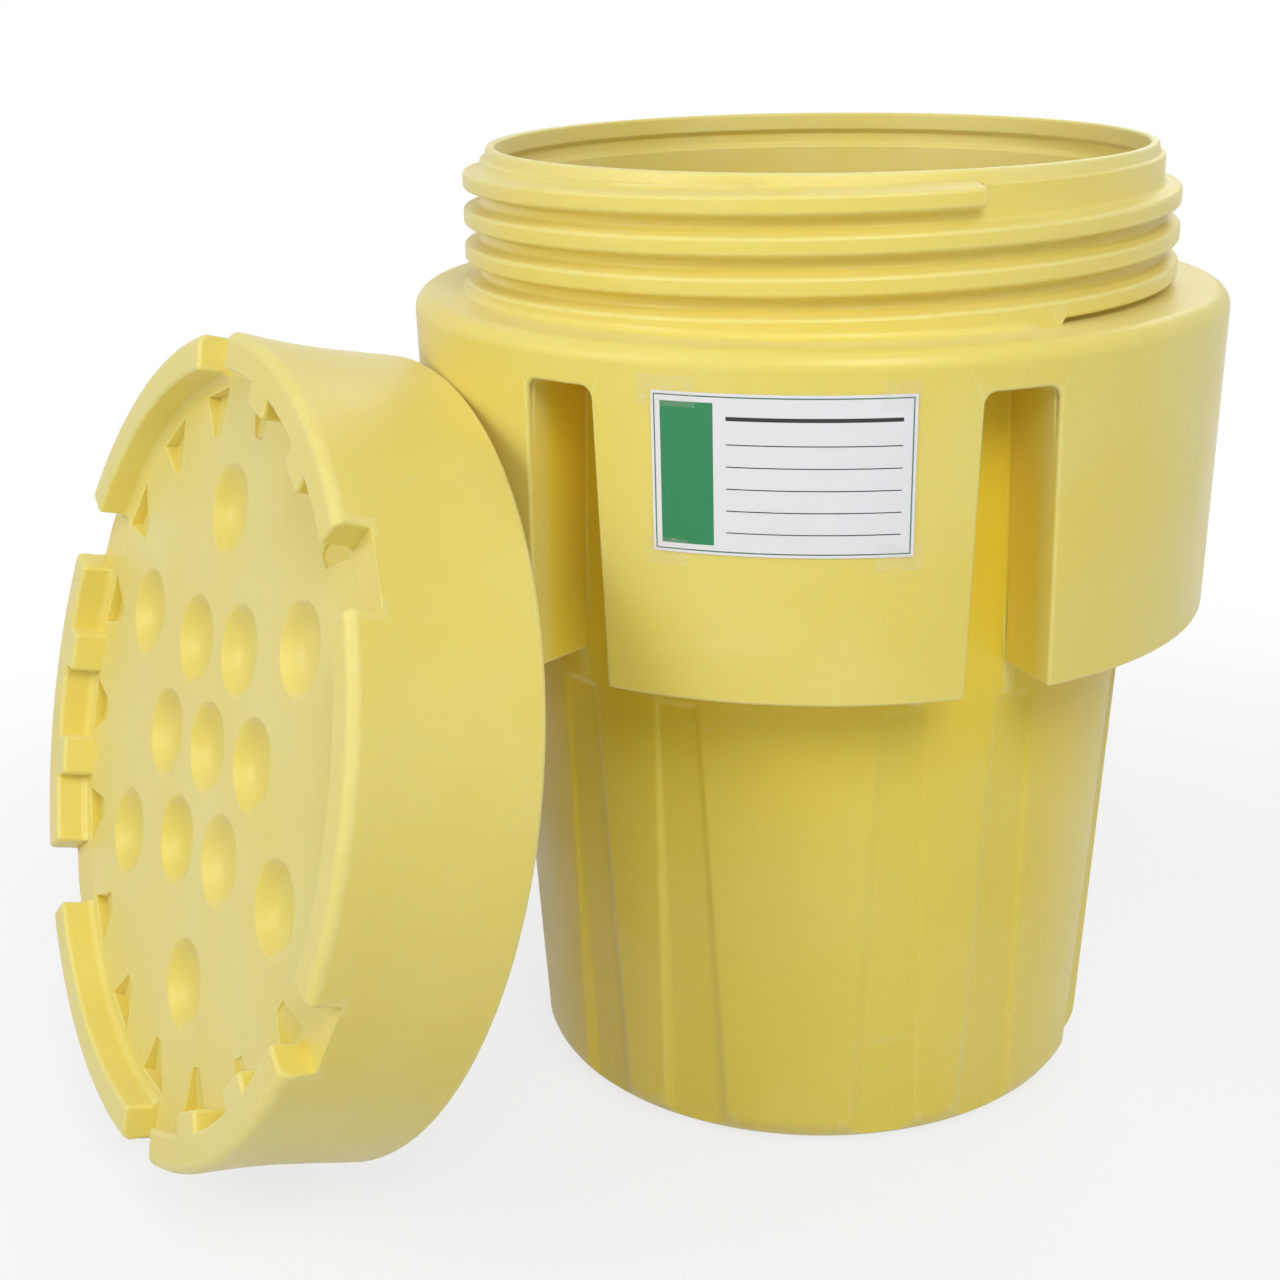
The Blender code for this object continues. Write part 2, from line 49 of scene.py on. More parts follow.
mergeDistance = 0.00002
pickTolerance = 0.0001
segmentSteps = ((0.004, 3), (0.012, 5), (inf, 7))  # roundings up to a size, and their segments
# Rounded edges that get wear and a painted highlight
wearAndHighlightMarks = {"bend": 16.5, "largestFace": 0.0004}
shading = {"sharpAngle": 40, "weight": 80}


def pickNothing():
    bpy.ops.object.select_all(action="DESELECT")


def pickAll():
    bpy.ops.mesh.select_all(action="SELECT")


def turnFacesOut():
    pickAll()
    bpy.ops.mesh.normals_make_consistent(inside=False)


def fixPlace():
    # Place, turn and scale of what is selected go into its mesh
    bpy.ops.object.transform_apply(location=True, rotation=True, scale=True)


def makeActive(piece):
    if bpy.context.object and bpy.context.object.mode != "OBJECT":
        bpy.ops.object.mode_set(mode="OBJECT")
    pickNothing()
    piece.select_set(True)
    bpy.context.view_layer.objects.active = piece


def startEdit(piece):
    makeActive(piece)
    bpy.ops.object.mode_set(mode="EDIT")
    bpy.ops.mesh.select_mode(type="EDGE")
    bpy.ops.mesh.select_all(action="DESELECT")


def stopEdit():
    bpy.ops.object.mode_set(mode="OBJECT")


def pickEdges(piece, wanted):
    bpy.ops.mesh.select_all(action="DESELECT")
    form = bmesh.from_edit_mesh(piece.data)
    picked = [edge for edge in form.edges if wanted(edge)]
    for edge in picked:
        edge.select_set(True)
    bmesh.update_edit_mesh(piece.data)
    return len(picked)


def pickVerts(piece, wanted):
    bpy.ops.mesh.select_mode(type="VERT")
    bpy.ops.mesh.select_all(action="DESELECT")
    form = bmesh.from_edit_mesh(piece.data)
    for vert in form.verts:
        if wanted(vert.co):
            vert.select_set(True)
    form.select_flush(True)
    bmesh.update_edit_mesh(piece.data)


def roundPicked(width, segments):
    bpy.ops.mesh.bevel(offset_type="OFFSET", offset=width, segments=segments, profile=0.5,
                       affect="EDGES", clamp_overlap=False, loop_slide=False)


def roundEdges(piece, wanted, width, segments):
    startEdit(piece)
    count = pickEdges(piece, wanted)
    roundPicked(width, segments)
    stopEdit()
    return count


def radiusOf(place):
    return hypot(place.x, place.y)


def levels(edge):
    return sorted(vert.co.z for vert in edge.verts)


def awayFrom(place, bearings):
    # The turn from a place to the nearest of some bearings
    bearing = atan2(place.y, place.x)
    return min(abs((bearing - other + pi) % (2 * pi) - pi) for other in bearings)


def sharpEdge(edge, limit):
    return len(edge.link_faces) == 2 and edge.calc_face_angle(0.0) > radians(limit)


def outwardEdge(edge, limit):
    return len(edge.link_faces) == 2 and edge.calc_face_angle_signed(0.0) > radians(limit)


def inwardEdge(edge, limit):
    return len(edge.link_faces) == 2 and edge.calc_face_angle_signed(0.0) < -radians(limit)


def combine(piece, tool, operation):
    makeActive(piece)
    joint = piece.modifiers.new("combine", "BOOLEAN")
    joint.operation = operation
    joint.solver = "EXACT"
    joint.object = tool
    bpy.ops.object.modifier_apply(modifier=joint.name)
    bpy.data.objects.remove(tool, do_unlink=True)


def mergeClose(piece):
    startEdit(piece)
    pickAll()
    bpy.ops.mesh.remove_doubles(threshold=mergeDistance)
    stopEdit()


def markEdges(piece):
    # Faces of the rounded outer edges are marked for the wear that shows there and for a painted highlight
    # along them
    form = bmesh.new()
    form.from_mesh(piece.data)
    marks = []
    for face in form.faces:
        bends = [edge.calc_face_angle_signed(0.0) for edge in face.edges if len(edge.link_faces) == 2]
        wornAndHighlighted = max(bends) > radians(wearAndHighlightMarks["bend"]) and face.calc_area() < wearAndHighlightMarks["largestFace"]
        marks.append(1.0 if wornAndHighlighted else 0.0)
    form.free()
    wearAndHighlight = piece.data.attributes.new("edgeWearAndHighlight", "FLOAT", "FACE")
    wearAndHighlight.data.foreach_set("value", marks)


def dress(piece, finish, node, body):
    # The piece stands for its CAD node, moves with its body and takes its finish
    piece.data.materials.clear()
    piece.data.materials.append(finish)
    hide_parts(node)
    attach(piece, body)
    print(piece.name + ":", len(piece.data.polygons), "faces")


def smoothFinish(piece):
    makeActive(piece)
    bpy.ops.object.shade_smooth_by_angle(angle=radians(shading["sharpAngle"]))
    weighted = piece.modifiers.new("even shading", "WEIGHTED_NORMAL")
    weighted.keep_sharp = True
    weighted.weight = shading["weight"]
    bpy.ops.object.modifier_apply(modifier=weighted.name)


def turnRings(name, rings, columns, closed=False, start=0):
    # Rings are (radius, height, rounding); each is drawn out of the one before it
    radius, height, rounding = rings[0]
    pickNothing()
    bpy.ops.mesh.primitive_circle_add(vertices=columns, radius=radius, location=(0, 0, height),
                                      rotation=(0, 0, start))
    piece = bpy.context.object
    piece.name = name
    fixPlace()
    startEdit(piece)
    pickAll()
    for nextRadius, nextHeight, rounding in rings[1:] + (rings[:1] if closed else []):
        bpy.ops.mesh.extrude_region_move(TRANSFORM_OT_translate={"value": (0, 0, nextHeight - height)})
        grow = nextRadius / radius
        bpy.ops.transform.resize(value=(grow, grow, 1), center_override=(0, 0, 0))
        radius, height = nextRadius, nextHeight
    if closed:
        pickAll()
        bpy.ops.mesh.remove_doubles(threshold=mergeDistance)
    else:
        for radius, height, rounding in (rings[0], rings[-1]):
            pickEdges(piece, lambda edge: len(edge.link_faces) == 1 and onRing(edge, radius, height))
            bpy.ops.mesh.edge_face_add()
    turnFacesOut()
    count = len(rings)
    for index, (radius, height, rounding) in enumerate(rings):
        if rounding == 0:
            continue
        here = Vector((radius, height))
        back = (Vector(rings[index - 1][:2]) - here).normalized()
        ahead = (Vector(rings[(index + 1) % count][:2]) - here).normalized()
        if not closed and index == 0:
            back = Vector((-1, 0))
        if not closed and index == count - 1:
            ahead = Vector((-1, 0))
        width = rounding / tan(back.angle(ahead) / 2)
        pickEdges(piece, lambda edge: onRing(edge, radius, height))
        roundPicked(width, next(segments for limit, segments in segmentSteps if rounding < limit))
    stopEdit()
    return piece


def onRing(edge, radius, height, near=0.00005):
    return all(abs(radiusOf(vert.co) - radius) < near and abs(vert.co.z - height) < near
               for vert in edge.verts)


def taperedBlock(name, low, high):
    # low and high are (near, far, sideways first, sideways last, height) of the two ends
    pickNothing()
    near, far, first, last, height = low
    size = (far - near, last - first, high[4] - height)
    middle = ((near + far) / 2, (first + last) / 2, (height + high[4]) / 2)
    bpy.ops.mesh.primitive_cube_add(size=1, location=middle, scale=size)
    block = bpy.context.object
    block.name = name
    fixPlace()
    startEdit(block)
    pickVerts(block, lambda place: place.z > middle[2])
    stretch = ((high[1] - high[0]) / size[0], (high[3] - high[2]) / size[1], 1)
    bpy.ops.transform.resize(value=stretch, center_override=middle)
    shift = ((high[0] + high[1]) / 2 - middle[0], (high[2] + high[3]) / 2 - middle[1], 0)
    bpy.ops.transform.translate(value=shift)
    stopEdit()
    return block


def joinPieces(pieces):
    pickNothing()
    for piece in pieces:
        piece.select_set(True)
    bpy.context.view_layer.objects.active = pieces[0]
    fixPlace()
    bpy.ops.object.join()
    return bpy.context.object


def turnedCopies(block, bearings):
    # One copy at each bearing about Z, joined into a single tool
    makeActive(block)
    copies = []
    for bearing in bearings:
        copy = block.copy()
        copy.data = block.data.copy()
        bpy.context.collection.objects.link(copy)
        copy.rotation_euler = (0, 0, bearing)
        copies.append(copy)
    bpy.data.objects.remove(block, do_unlink=True)
    return joinPieces(copies)


ridgeForm = {"noseSteps": 4, "crestSegments": 3, "endTolerance": 0.00001}


def helixRidge(name, form):
    # The ridge's section is wound down from its top end by a Screw modifier
    pickNothing()
    depth = form["crest"] - form["root"]
    sign = 1 if depth > 0 else -1
    footRadius = form["root"] - sign * form["embed"]
    flare = (form["rootWidth"] - form["crestWidth"]) / abs(depth)
    footWidth = form["rootWidth"] + flare * form["embed"]
    middle = ((footRadius + form["crest"]) / 2, 0, form["top"])
    bpy.ops.mesh.primitive_plane_add(size=1, location=middle, rotation=(pi / 2, 0, 0))
    ridge = bpy.context.object
    ridge.name = name
    ridge.scale = (abs(form["crest"] - footRadius), footWidth, 1)
    fixPlace()
    startEdit(ridge)
    pickVerts(ridge, lambda place: abs(place.x - form["crest"]) < pickTolerance)
    narrow = form["crestWidth"] / footWidth
    bpy.ops.transform.resize(value=(1, 1, narrow), center_override=middle)
    bpy.ops.mesh.bevel(offset_type="OFFSET", offset=form["crestRounding"],
                       segments=ridgeForm["crestSegments"], affect="VERTICES")
    stopEdit()
    wind = ridge.modifiers.new("wind", "SCREW")
    wind.axis = "Z"
    wind.angle = -form["turns"] * 2 * pi
    wind.screw_offset = -form["turns"] * form["pitch"]
    wind.steps = round(form["turns"] * form["columns"])
    wind.render_steps = wind.steps
    wind.use_merge_vertices = False
    makeActive(ridge)
    bpy.ops.object.modifier_apply(modifier=wind.name)
    startEdit(ridge)
    pickAll()
    bpy.ops.mesh.fill_holes(sides=0)
    turnFacesOut()
    # The top end is drawn out into a rounded nose
    endNear = ridgeForm["endTolerance"]
    pickVerts(ridge, lambda place: abs(place.y) < endNear and place.z > form["top"] - footWidth)
    nose = form["endRounding"]
    reach = abs(form["crest"] - footRadius)
    lastOut, lastWide, lastHigh = 0, 1, 1
    steps = ridgeForm["noseSteps"]
    for index in range(1, steps + 1):
        turn = pi / 2 * index / steps
        out = nose * sin(turn)
        inset = nose * (1 - cos(turn))
        wide = 1 - inset / reach
        high = 1 - 2 * inset / footWidth
        bpy.ops.mesh.extrude_region_move(TRANSFORM_OT_translate={"value": (0, out - lastOut, 0)})
        bpy.ops.transform.resize(value=(wide / lastWide, 1, high / lastHigh),
                                 center_override=(footRadius, 0, form["top"]))
        lastOut, lastWide, lastHigh = out, wide, high
    stopEdit()
    ridge.rotation_euler = (0, 0, form["endBearing"])
    makeActive(ridge)
    fixPlace()
    return ridge


# Drum body

drumForm = {
    "columns": 144,
    "wall": 0.0065,
    "baseRadius": 0.263,
    "baseRounding": 0.032,
    "bodyTopRadius": 0.290,
    "ledgeHeight": 0.460,
    "skirtRadius": 0.357,
    "shoulderRadius": 0.3645,
    "shoulderRounding": 0.016,
    "deckHeight": 0.745,
    "neckRadius": 0.302,
    "neckWall": 0.0085,
    "lipRadius": 0.296,
    "mouthRadius": 0.2885,
    "rimHeight": 0.868,
    "lipHeight": 0.011,
    "lipInside": 0.016,
    "grooveHeight": 0.017,
    "edgeRounding": 0.003,
    "edgeSegments": 4,
    "innerLedgeRounding": 0.010,
    "innerFootRounding": 0.004,
    "throatStep": 0.003,
    "throatRounding": 0.006,
    "grooveStep": 0.002,
    "grooveRise": 0.003,
    "grooveDrop": 0.004,
    "grooveRounding": 0.002,
    "mouthRounding": 0.0025,
    "lipRounding": 0.003,
    "lipFootRounding": 0.0015,
    "neckFootRounding": 0.004,
}

slotForm = {
    "count": 6,
    "topWidth": 0.066,
    "bottomWidth": 0.078,
    "topHeight": 0.709,
    "cornerRounding": 0.010,
    "cornerSegments": 5,
    "backRadius": 0.2895,
    "housingRadius": 0.2815,
    "coreHeight": 2,
    "coreReach": 0.04,
    "outReach": 0.03,
    "footReach": 0.012,
    "sharpAngle": 30,
    "roundAbove": 0.4,
    "deckMargin": 0.01,
}

# Which of the skirt's and the ledge's columns run along a slot, counted from its middle
columnPick = {"near": 0.0005, "tall": 0.15, "wide": 0.03, "turnNear": 0.01, "onSkirt": 2, "onLedge": 3}

channelForm = {
    "topAngles": (15.5, 23.5),
    "baseAngles": (11.5, 25.7),
    "topDepth": 0.003,
    "baseDepth": 0.007,
    "endSlope": 0.034,
    "sideSlope": 1.6,
    "topDrop": 0.002,
    "toolFoot": -0.02,
    "toolReach": 0.02,
    "rounding": 0.0020,
    "segments": 3,
    "sharpAngle": 24,
    "roundFrom": 0.0255,
    "roundTo": 0.459,
}

threadForm = {
    "pitch": 0.031,
    "crest": 0.3175,
    "rootWidth": 0.021,
    "crestWidth": 0.014,
    "crestRounding": 0.0028,
    "topDrop": 0.019,
    "embed": 0.004,
    "endBearing": 27.5,
    "endRounding": 0.004,
    "burial": 0.002,
    "rootRounding": 0.003,
    "rootSegments": 3,
    "rootAngle": 24,
    "rootNear": 0.0012,
    "deckClear": 0.0065,
    "fillTurn": 3,
    "fillBearing": 40,
    "fillDrop": 0.022,
    "fillMargin": 0.0003,
    "fillRounding": 0.007,
    "fillSegments": 5,
    "fillTurnMargin": 0.01,
    "deckAngle": 50,
    "deckNear": 0.0005,
    "crestNear": 0.002,
}


def drumRings(d):
    wall = d["wall"]
    innerBase = d["baseRadius"] - channelForm["baseDepth"] - wall
    innerTop = d["bodyTopRadius"] - channelForm["topDepth"] - wall
    neckBore = d["neckRadius"] - d["neckWall"]
    rim = d["rimHeight"]
    lipFoot = rim - d["lipInside"]
    grooveFoot = lipFoot - d["grooveHeight"]
    lipStep = d["lipFootRounding"]
    return [
        (innerBase, wall, d["baseRounding"] - wall),
        (innerTop, d["ledgeHeight"] + wall, d["innerLedgeRounding"]),
        (d["skirtRadius"] - wall, d["ledgeHeight"] + wall, d["innerFootRounding"]),
        (d["shoulderRadius"] - wall, d["deckHeight"] - wall, d["shoulderRounding"] - wall),
        (neckBore - d["throatStep"], d["deckHeight"] - wall, d["throatRounding"]),
        (neckBore - d["throatStep"], grooveFoot, d["grooveRounding"]),
        (neckBore + d["grooveStep"], grooveFoot + d["grooveRise"], d["grooveRounding"]),
        (neckBore + d["grooveStep"], lipFoot - d["grooveDrop"], d["grooveRounding"]),
        (d["mouthRadius"], lipFoot, d["grooveRounding"]),
        (d["mouthRadius"], rim, d["mouthRounding"]),
        (d["lipRadius"], rim, d["lipRounding"]),
        (d["lipRadius"] + lipStep, rim - d["lipHeight"] + lipStep, lipStep),
        (d["neckRadius"], rim - d["lipHeight"], lipStep),
        (d["neckRadius"], d["deckHeight"], d["neckFootRounding"]),
        (d["shoulderRadius"], d["deckHeight"], d["shoulderRounding"]),
        (d["skirtRadius"], d["ledgeHeight"], 0),
        (d["bodyTopRadius"], d["ledgeHeight"], 0),
        (d["baseRadius"], 0, d["baseRounding"]),
    ]


def slotBearings(shift=0.5):
    # Slots lie half a step round from the front, and the panels between them lie on whole steps
    return [-pi / 2 + 2 * pi * (index + shift) / slotForm["count"] for index in range(slotForm["count"])]


def slotTool(name, extra, near, far, foot, core):
    # A tapered block with rounded top corners, its back following a round core
    s = slotForm
    top = s["topHeight"] + extra
    halfTop = s["topWidth"] / 2 + extra
    halfFoot = s["bottomWidth"] / 2 + extra
    block = taperedBlock(name, (near, far, -halfFoot, halfFoot, foot), (near, far, -halfTop, halfTop, top))

    def topCorner(edge):
        first, last = (vert.co for vert in edge.verts)
        level = max(abs(first.z - top), abs(last.z - top)) < pickTolerance
        return level and abs(first.y - last.y) < pickTolerance

    roundEdges(block, topCorner, s["cornerRounding"] + extra, s["cornerSegments"])
    tool = turnedCopies(block, slotBearings())
    pickNothing()
    bpy.ops.mesh.primitive_cylinder_add(vertices=drumForm["columns"], radius=core, depth=s["coreHeight"],
                                        rotation=(0, 0, 0))
    combine(tool, bpy.context.object, "DIFFERENCE")
    return tool


def cutSlots(drum, d):
    # Columns that would run along a slot's edge are taken out of the skirt first
    s = slotForm
    k = columnPick
    startEdit(drum)
    step = 2 * pi / d["columns"]

    def besideSlot(edge):
        first, last = (vert.co for vert in edge.verts)
        onSkirt = min(radiusOf(first), radiusOf(last)) > d["skirtRadius"] - k["near"]
        onLedge = max(abs(first.z - d["ledgeHeight"]), abs(last.z - d["ledgeHeight"])) < k["near"]
        if onSkirt and abs(first.z - last.z) < k["tall"] or not onSkirt and not onLedge:
            return False
        if onLedge and hypot(first.x - last.x, first.y - last.y) < k["wide"]:
            return False
        away = awayFrom(first, slotBearings())
        if abs(away - k["onSkirt"] * step) < k["turnNear"]:
            return True
        return onLedge and abs(away - k["onLedge"] * step) < k["turnNear"]

    pickEdges(drum, besideSlot)
    bpy.ops.mesh.dissolve_edges(use_verts=False)
    stopEdit()
    housing = slotTool("slot housing", d["wall"], s["housingRadius"] - s["coreReach"],
                       d["skirtRadius"] - d["wall"] / 2, d["ledgeHeight"] + d["wall"] / 2,
                       s["housingRadius"])
    combine(drum, housing, "UNION")
    slot = slotTool("slot", 0, s["backRadius"] - s["coreReach"], d["shoulderRadius"] + s["outReach"],
                    d["ledgeHeight"] - s["footReach"], s["backRadius"])
    combine(drum, slot, "DIFFERENCE")
    mergeClose(drum)

    def slotEdge(edge):
        low, high = levels(edge)
        within = low > s["roundAbove"] and high < d["deckHeight"] - s["deckMargin"]
        return within and sharpEdge(edge, s["sharpAngle"])

    roundEdges(drum, slotEdge, d["edgeRounding"], d["edgeSegments"])


def cutChannels(drum, d):
    c = channelForm
    top = d["ledgeHeight"] - c["topDrop"]

    def bodyRadius(height):
        return d["baseRadius"] + (d["bodyTopRadius"] - d["baseRadius"]) * height / d["ledgeHeight"]

    tools = []
    for side in (-1, 1):
        pickNothing()
        bpy.ops.mesh.primitive_cube_add(size=2)
        block = bpy.context.object
        for vert in block.data.vertices:
            atTop = vert.co.z > 0
            outer = vert.co.x > 0
            height = (top if outer else top - c["endSlope"]) if atTop else c["toolFoot"]
            angles = c["topAngles"] if atTop else c["baseAngles"]
            depth = c["topDepth"] if atTop else c["baseDepth"]
            lift = c["toolReach"] if outer else -depth
            radius = bodyRadius(height) + lift
            spread = lift * c["sideSlope"] / radius
            bearing = side * (radians(angles[1]) + spread if vert.co.y > 0 else radians(angles[0]) - spread)
            vert.co = (radius * cos(bearing), radius * sin(bearing), height)
        if side < 0:
            startEdit(block)
            turnFacesOut()
            stopEdit()
        tools.append(block)
    for block in tools:
        combine(drum, turnedCopies(block, slotBearings(0)), "DIFFERENCE")
    mergeClose(drum)

    def channelEdge(edge):
        low, high = levels(edge)
        return low > c["roundFrom"] and high < c["roundTo"] and sharpEdge(edge, c["sharpAngle"])

    roundEdges(drum, channelEdge, c["rounding"], c["segments"])


def turnsDown(place, top, pitch, endBearing):
    # How many turns below the thread's top end a point on the ridge lies
    part = (endBearing - atan2(place.y, place.x)) / (2 * pi) % 1
    return part + round((top - place.z) / pitch - part)


def addThread(drum, d):
    t = threadForm
    pitch = t["pitch"]
    top = d["rimHeight"] - t["topDrop"]
    endBearing = -pi / 2 + radians(t["endBearing"])
    buried = d["deckHeight"] - t["rootWidth"] / 2 - t["burial"]
    ridge = helixRidge("neck thread", dict(t, root=d["neckRadius"], top=top, turns=(top - buried) / pitch,
                                           columns=d["columns"], endBearing=endBearing))
    # Past the fill bearing of its last turn the ridge stands on the deck, and ends inside it
    fillFrom = t["fillTurn"] - (t["fillBearing"] - t["endBearing"]) / 360
    startEdit(ridge)

    def underside(place):
        down = turnsDown(place, top, pitch, endBearing)
        crestFoot = top - pitch * down - t["crestWidth"] / 2 + t["crestRounding"] + t["fillMargin"]
        return down > fillFrom and place.z < crestFoot

    pickVerts(ridge, underside)
    bpy.ops.transform.translate(value=(0, 0, -t["fillDrop"]))
    pickAll()
    bpy.ops.mesh.bisect(plane_co=(0, 0, d["deckHeight"] - d["wall"] / 2), plane_no=(0, 0, 1),
                        use_fill=True, clear_inner=True)
    stopEdit()
    combine(drum, ridge, "UNION")
    mergeClose(drum)
    startEdit(drum)
    clear = d["deckHeight"] + t["deckClear"]

    def onNeck(place):
        return place.z > clear and abs(radiusOf(place) - d["neckRadius"]) < t["rootNear"]

    pickEdges(drum, lambda edge: inwardEdge(edge, t["rootAngle"]) and all(
        onNeck(vert.co) for vert in edge.verts))
    roundPicked(t["rootRounding"], t["rootSegments"])
    lowest = top - d["deckHeight"] + t["crestWidth"] / 2 - t["fillRounding"]

    def onDeck(edge):
        level = all(abs(vert.co.z - d["deckHeight"]) < t["deckNear"] for vert in edge.verts)
        standing = all(abs(radiusOf(vert.co) - t["crest"]) < t["crestNear"] for vert in edge.verts)
        if not (level and standing and inwardEdge(edge, t["deckAngle"])):
            return False
        turned = (endBearing - atan2(edge.verts[0].co.y, edge.verts[0].co.x)) / (2 * pi) % 1
        if turned > fillFrom % 1 + t["fillTurnMargin"]:
            return True
        return turned * pitch + t["fillTurn"] * pitch < lowest

    pickEdges(drum, onDeck)
    roundPicked(t["fillRounding"], t["fillSegments"])
    stopEdit()


def buildDrum(finish):
    d = drumForm
    drum = turnRings("drumShell", drumRings(d), d["columns"])
    cutSlots(drum, d)
    cutChannels(drum, d)
    addThread(drum, d)
    markEdges(drum)
    smoothFinish(drum)
    dress(drum, finish, "drum_body", "drum")


# Lid

lidForm = {
    "columns": 132,
    "height": 0.1645,
    "radius": 0.3588,
    "bore": 0.321,
    "waist": 0.0044,
    "waistDrop": 0.068,
    "waistBend": 0.6,
    "topRounding": 0.009,
    "edgeRounding": 0.006,
    "fieldDepth": 0.030,
    "topThickness": 0.025,
    "bandWidth": 0.033,
    "footRounding": 0.007,
    "grooveDepth": 0.003,
    "grooveWidth": 0.0171,
    "gasketRadius": 0.29225,
    "grooveRounding": 0.001,
    "landRounding": 0.005,
    "cutRounding": 0.0036,
    "cutSegments": 4,
    "sillRounding": 0.001,
    "wallNear": 0.001,
    "rimAngle": 20,
    "rimNear": 0.00003,
}

notchForm = {
    "count": 6,
    "bearing": 40,
    "angle": 11,
    "sill": 0.0006,
    "toolReach": 0.02,
    "sharpAngle": 40,
    "turnNear": 0.004,
}

lugForm = {"spread": 9.5, "angle": 7, "depth": 0.018, "sink": 0.004, "rounding": 0.0038, "sharpAngle": 50}

pocketForm = {
    "count": 18,
    "bearing": 10,
    "angle": 10.6,
    "innerShare": 0.35,
    "floorShare": 0.80,
    "length": 0.041,
    "margin": 0.011,
    "depth": 0.0115,
    "startDepth": 0.0026,
    "floorRounding": 0.0014,
    "floorSegments": 3,
    "rimRounding": 0.0011,
    "toolRise": 0.01,
}

dimpleForm = {
    "rings": ((0.1038, 10), (0.208, 40)),
    "count": 6,
    "radius": 0.040,
    "floorRadius": 0.024,
    "depth": 0.018,
    "floorRounding": 0.012,
    "floorSegments": 6,
    "rimRounding": 0.002,
    "columns": 48,
    "toolRise": 0.001,
}

lidThread = {
    "turns": 2.0,
    "top": 0.076,
    "crest": 0.3055,
    "rootWidth": 0.011,
    "crestWidth": 0.006,
    "crestRounding": 0.0018,
    "embed": 0.003,
    "endBearing": 5.0,
    "endRounding": 0.003,
}


def lidRings(l):
    field = l["height"] - l["fieldDepth"]
    land = field - l["topThickness"]
    inner = l["radius"] - l["bandWidth"]
    grooveIn = l["gasketRadius"] - l["grooveWidth"] / 2
    grooveOut = l["gasketRadius"] + l["grooveWidth"] / 2
    return [
        (inner, field, l["footRounding"]),
        (inner, l["height"], 0),
        (l["radius"], l["height"], l["topRounding"]),
        (l["radius"] - l["waist"], l["height"] - l["waistDrop"], l["waistBend"]),
        (l["radius"], 0, l["edgeRounding"]),
        (l["bore"], 0, l["edgeRounding"]),
        (l["bore"], land, l["landRounding"]),
        (grooveOut, land, l["grooveRounding"]),
        (grooveOut, land + l["grooveDepth"], 0),
        (grooveIn, land + l["grooveDepth"], 0),
        (grooveIn, land, l["grooveRounding"]),
    ]


def sectorBlock(name, angle, near, far, lowNear, lowFar, high, innerShare=1, floorShare=1):
    # A block between two radii, as wide as an angle
    # Its floor may slope, and its inner end and its floor may be narrower
    pickNothing()
    bpy.ops.mesh.primitive_cube_add(size=2)
    block = bpy.context.object
    block.name = name
    half = radians(angle) / 2
    for vert in block.data.vertices:
        outer = vert.co.x > 0
        radius = far if outer else near
        wide = half * (1 if outer else innerShare) * (1 if vert.co.z > 0 else floorShare)
        bearing = wide if vert.co.y > 0 else -wide
        height = high if vert.co.z > 0 else lowFar if outer else lowNear
        vert.co = (radius * cos(bearing), radius * sin(bearing), height)
    return block


def evenBearings(first, count):
    return [radians(first + index * 360 / count) for index in range(count)]


def addLugs(lid, l, field, inner):
    foot = field - lugForm["sink"]
    block = sectorBlock("lug", lugForm["angle"], inner - lugForm["depth"], inner + l["bandWidth"] / 2,
                        foot, foot, l["height"])
    stretch = 360 / notchForm["count"]
    bearings = []
    for index in range(0, notchForm["count"], 2):
        middle = notchForm["bearing"] + stretch * (index + 0.5)
        bearings += [radians(middle - lugForm["spread"]), radians(middle + lugForm["spread"])]
    combine(lid, turnedCopies(block, bearings), "UNION")


def cutNotches(lid, l, field, inner):
    n = notchForm
    floor = field + n["sill"]
    block = sectorBlock("notch", n["angle"], inner - lugForm["depth"], l["radius"] + n["toolReach"],
                        floor, floor, l["height"] + n["toolReach"])
    combine(lid, turnedCopies(block, evenBearings(n["bearing"], n["count"])), "DIFFERENCE")


def cutPockets(lid, field, inner):
    p = pocketForm
    far = inner - p["margin"]
    block = sectorBlock("pocket", p["angle"], far - p["length"], far,
                        field - p["startDepth"], field - p["depth"], field + p["toolRise"],
                        p["innerShare"], p["floorShare"])
    roundEdges(block, lambda edge: max(levels(edge)) < field, p["floorRounding"], p["floorSegments"])
    combine(lid, turnedCopies(block, evenBearings(p["bearing"], p["count"])), "DIFFERENCE")


def cutDimples(lid, field):
    m = dimpleForm
    rise = m["toolRise"]
    flare = (m["radius"] - m["floorRadius"]) / m["depth"]
    places = [(0, 0)]
    for ringRadius, first in m["rings"]:
        places += [(ringRadius * cos(bearing), ringRadius * sin(bearing))
                   for bearing in evenBearings(first, m["count"])]
    tools = []
    for x, y in places:
        pickNothing()
        middle = (x, y, field + (rise - m["depth"]) / 2)
        bpy.ops.mesh.primitive_cone_add(vertices=m["columns"], radius1=m["floorRadius"],
                                        radius2=m["radius"] + flare * rise,
                                        depth=m["depth"] + rise, location=middle)
        bowl = bpy.context.object
        fixPlace()
        roundEdges(bowl, lambda edge: max(levels(edge)) < middle[2],
                   m["floorRounding"], m["floorSegments"])
        tools.append(bowl)
    combine(lid, joinPieces(tools), "DIFFERENCE")


def roundLidEdges(lid, wanted, width):
    mergeClose(lid)
    print("lid edges rounded:", roundEdges(lid, wanted, width, lidForm["cutSegments"]))


def roundLugs(lid, l, field, inner):
    def lugEdge(edge):
        high = max(levels(edge)) > field + l["fieldDepth"] / 2
        within = all(radiusOf(vert.co) < inner + l["wallNear"] for vert in edge.verts)
        return high and within and outwardEdge(edge, lugForm["sharpAngle"])

    roundLidEdges(lid, lugEdge, lugForm["rounding"])


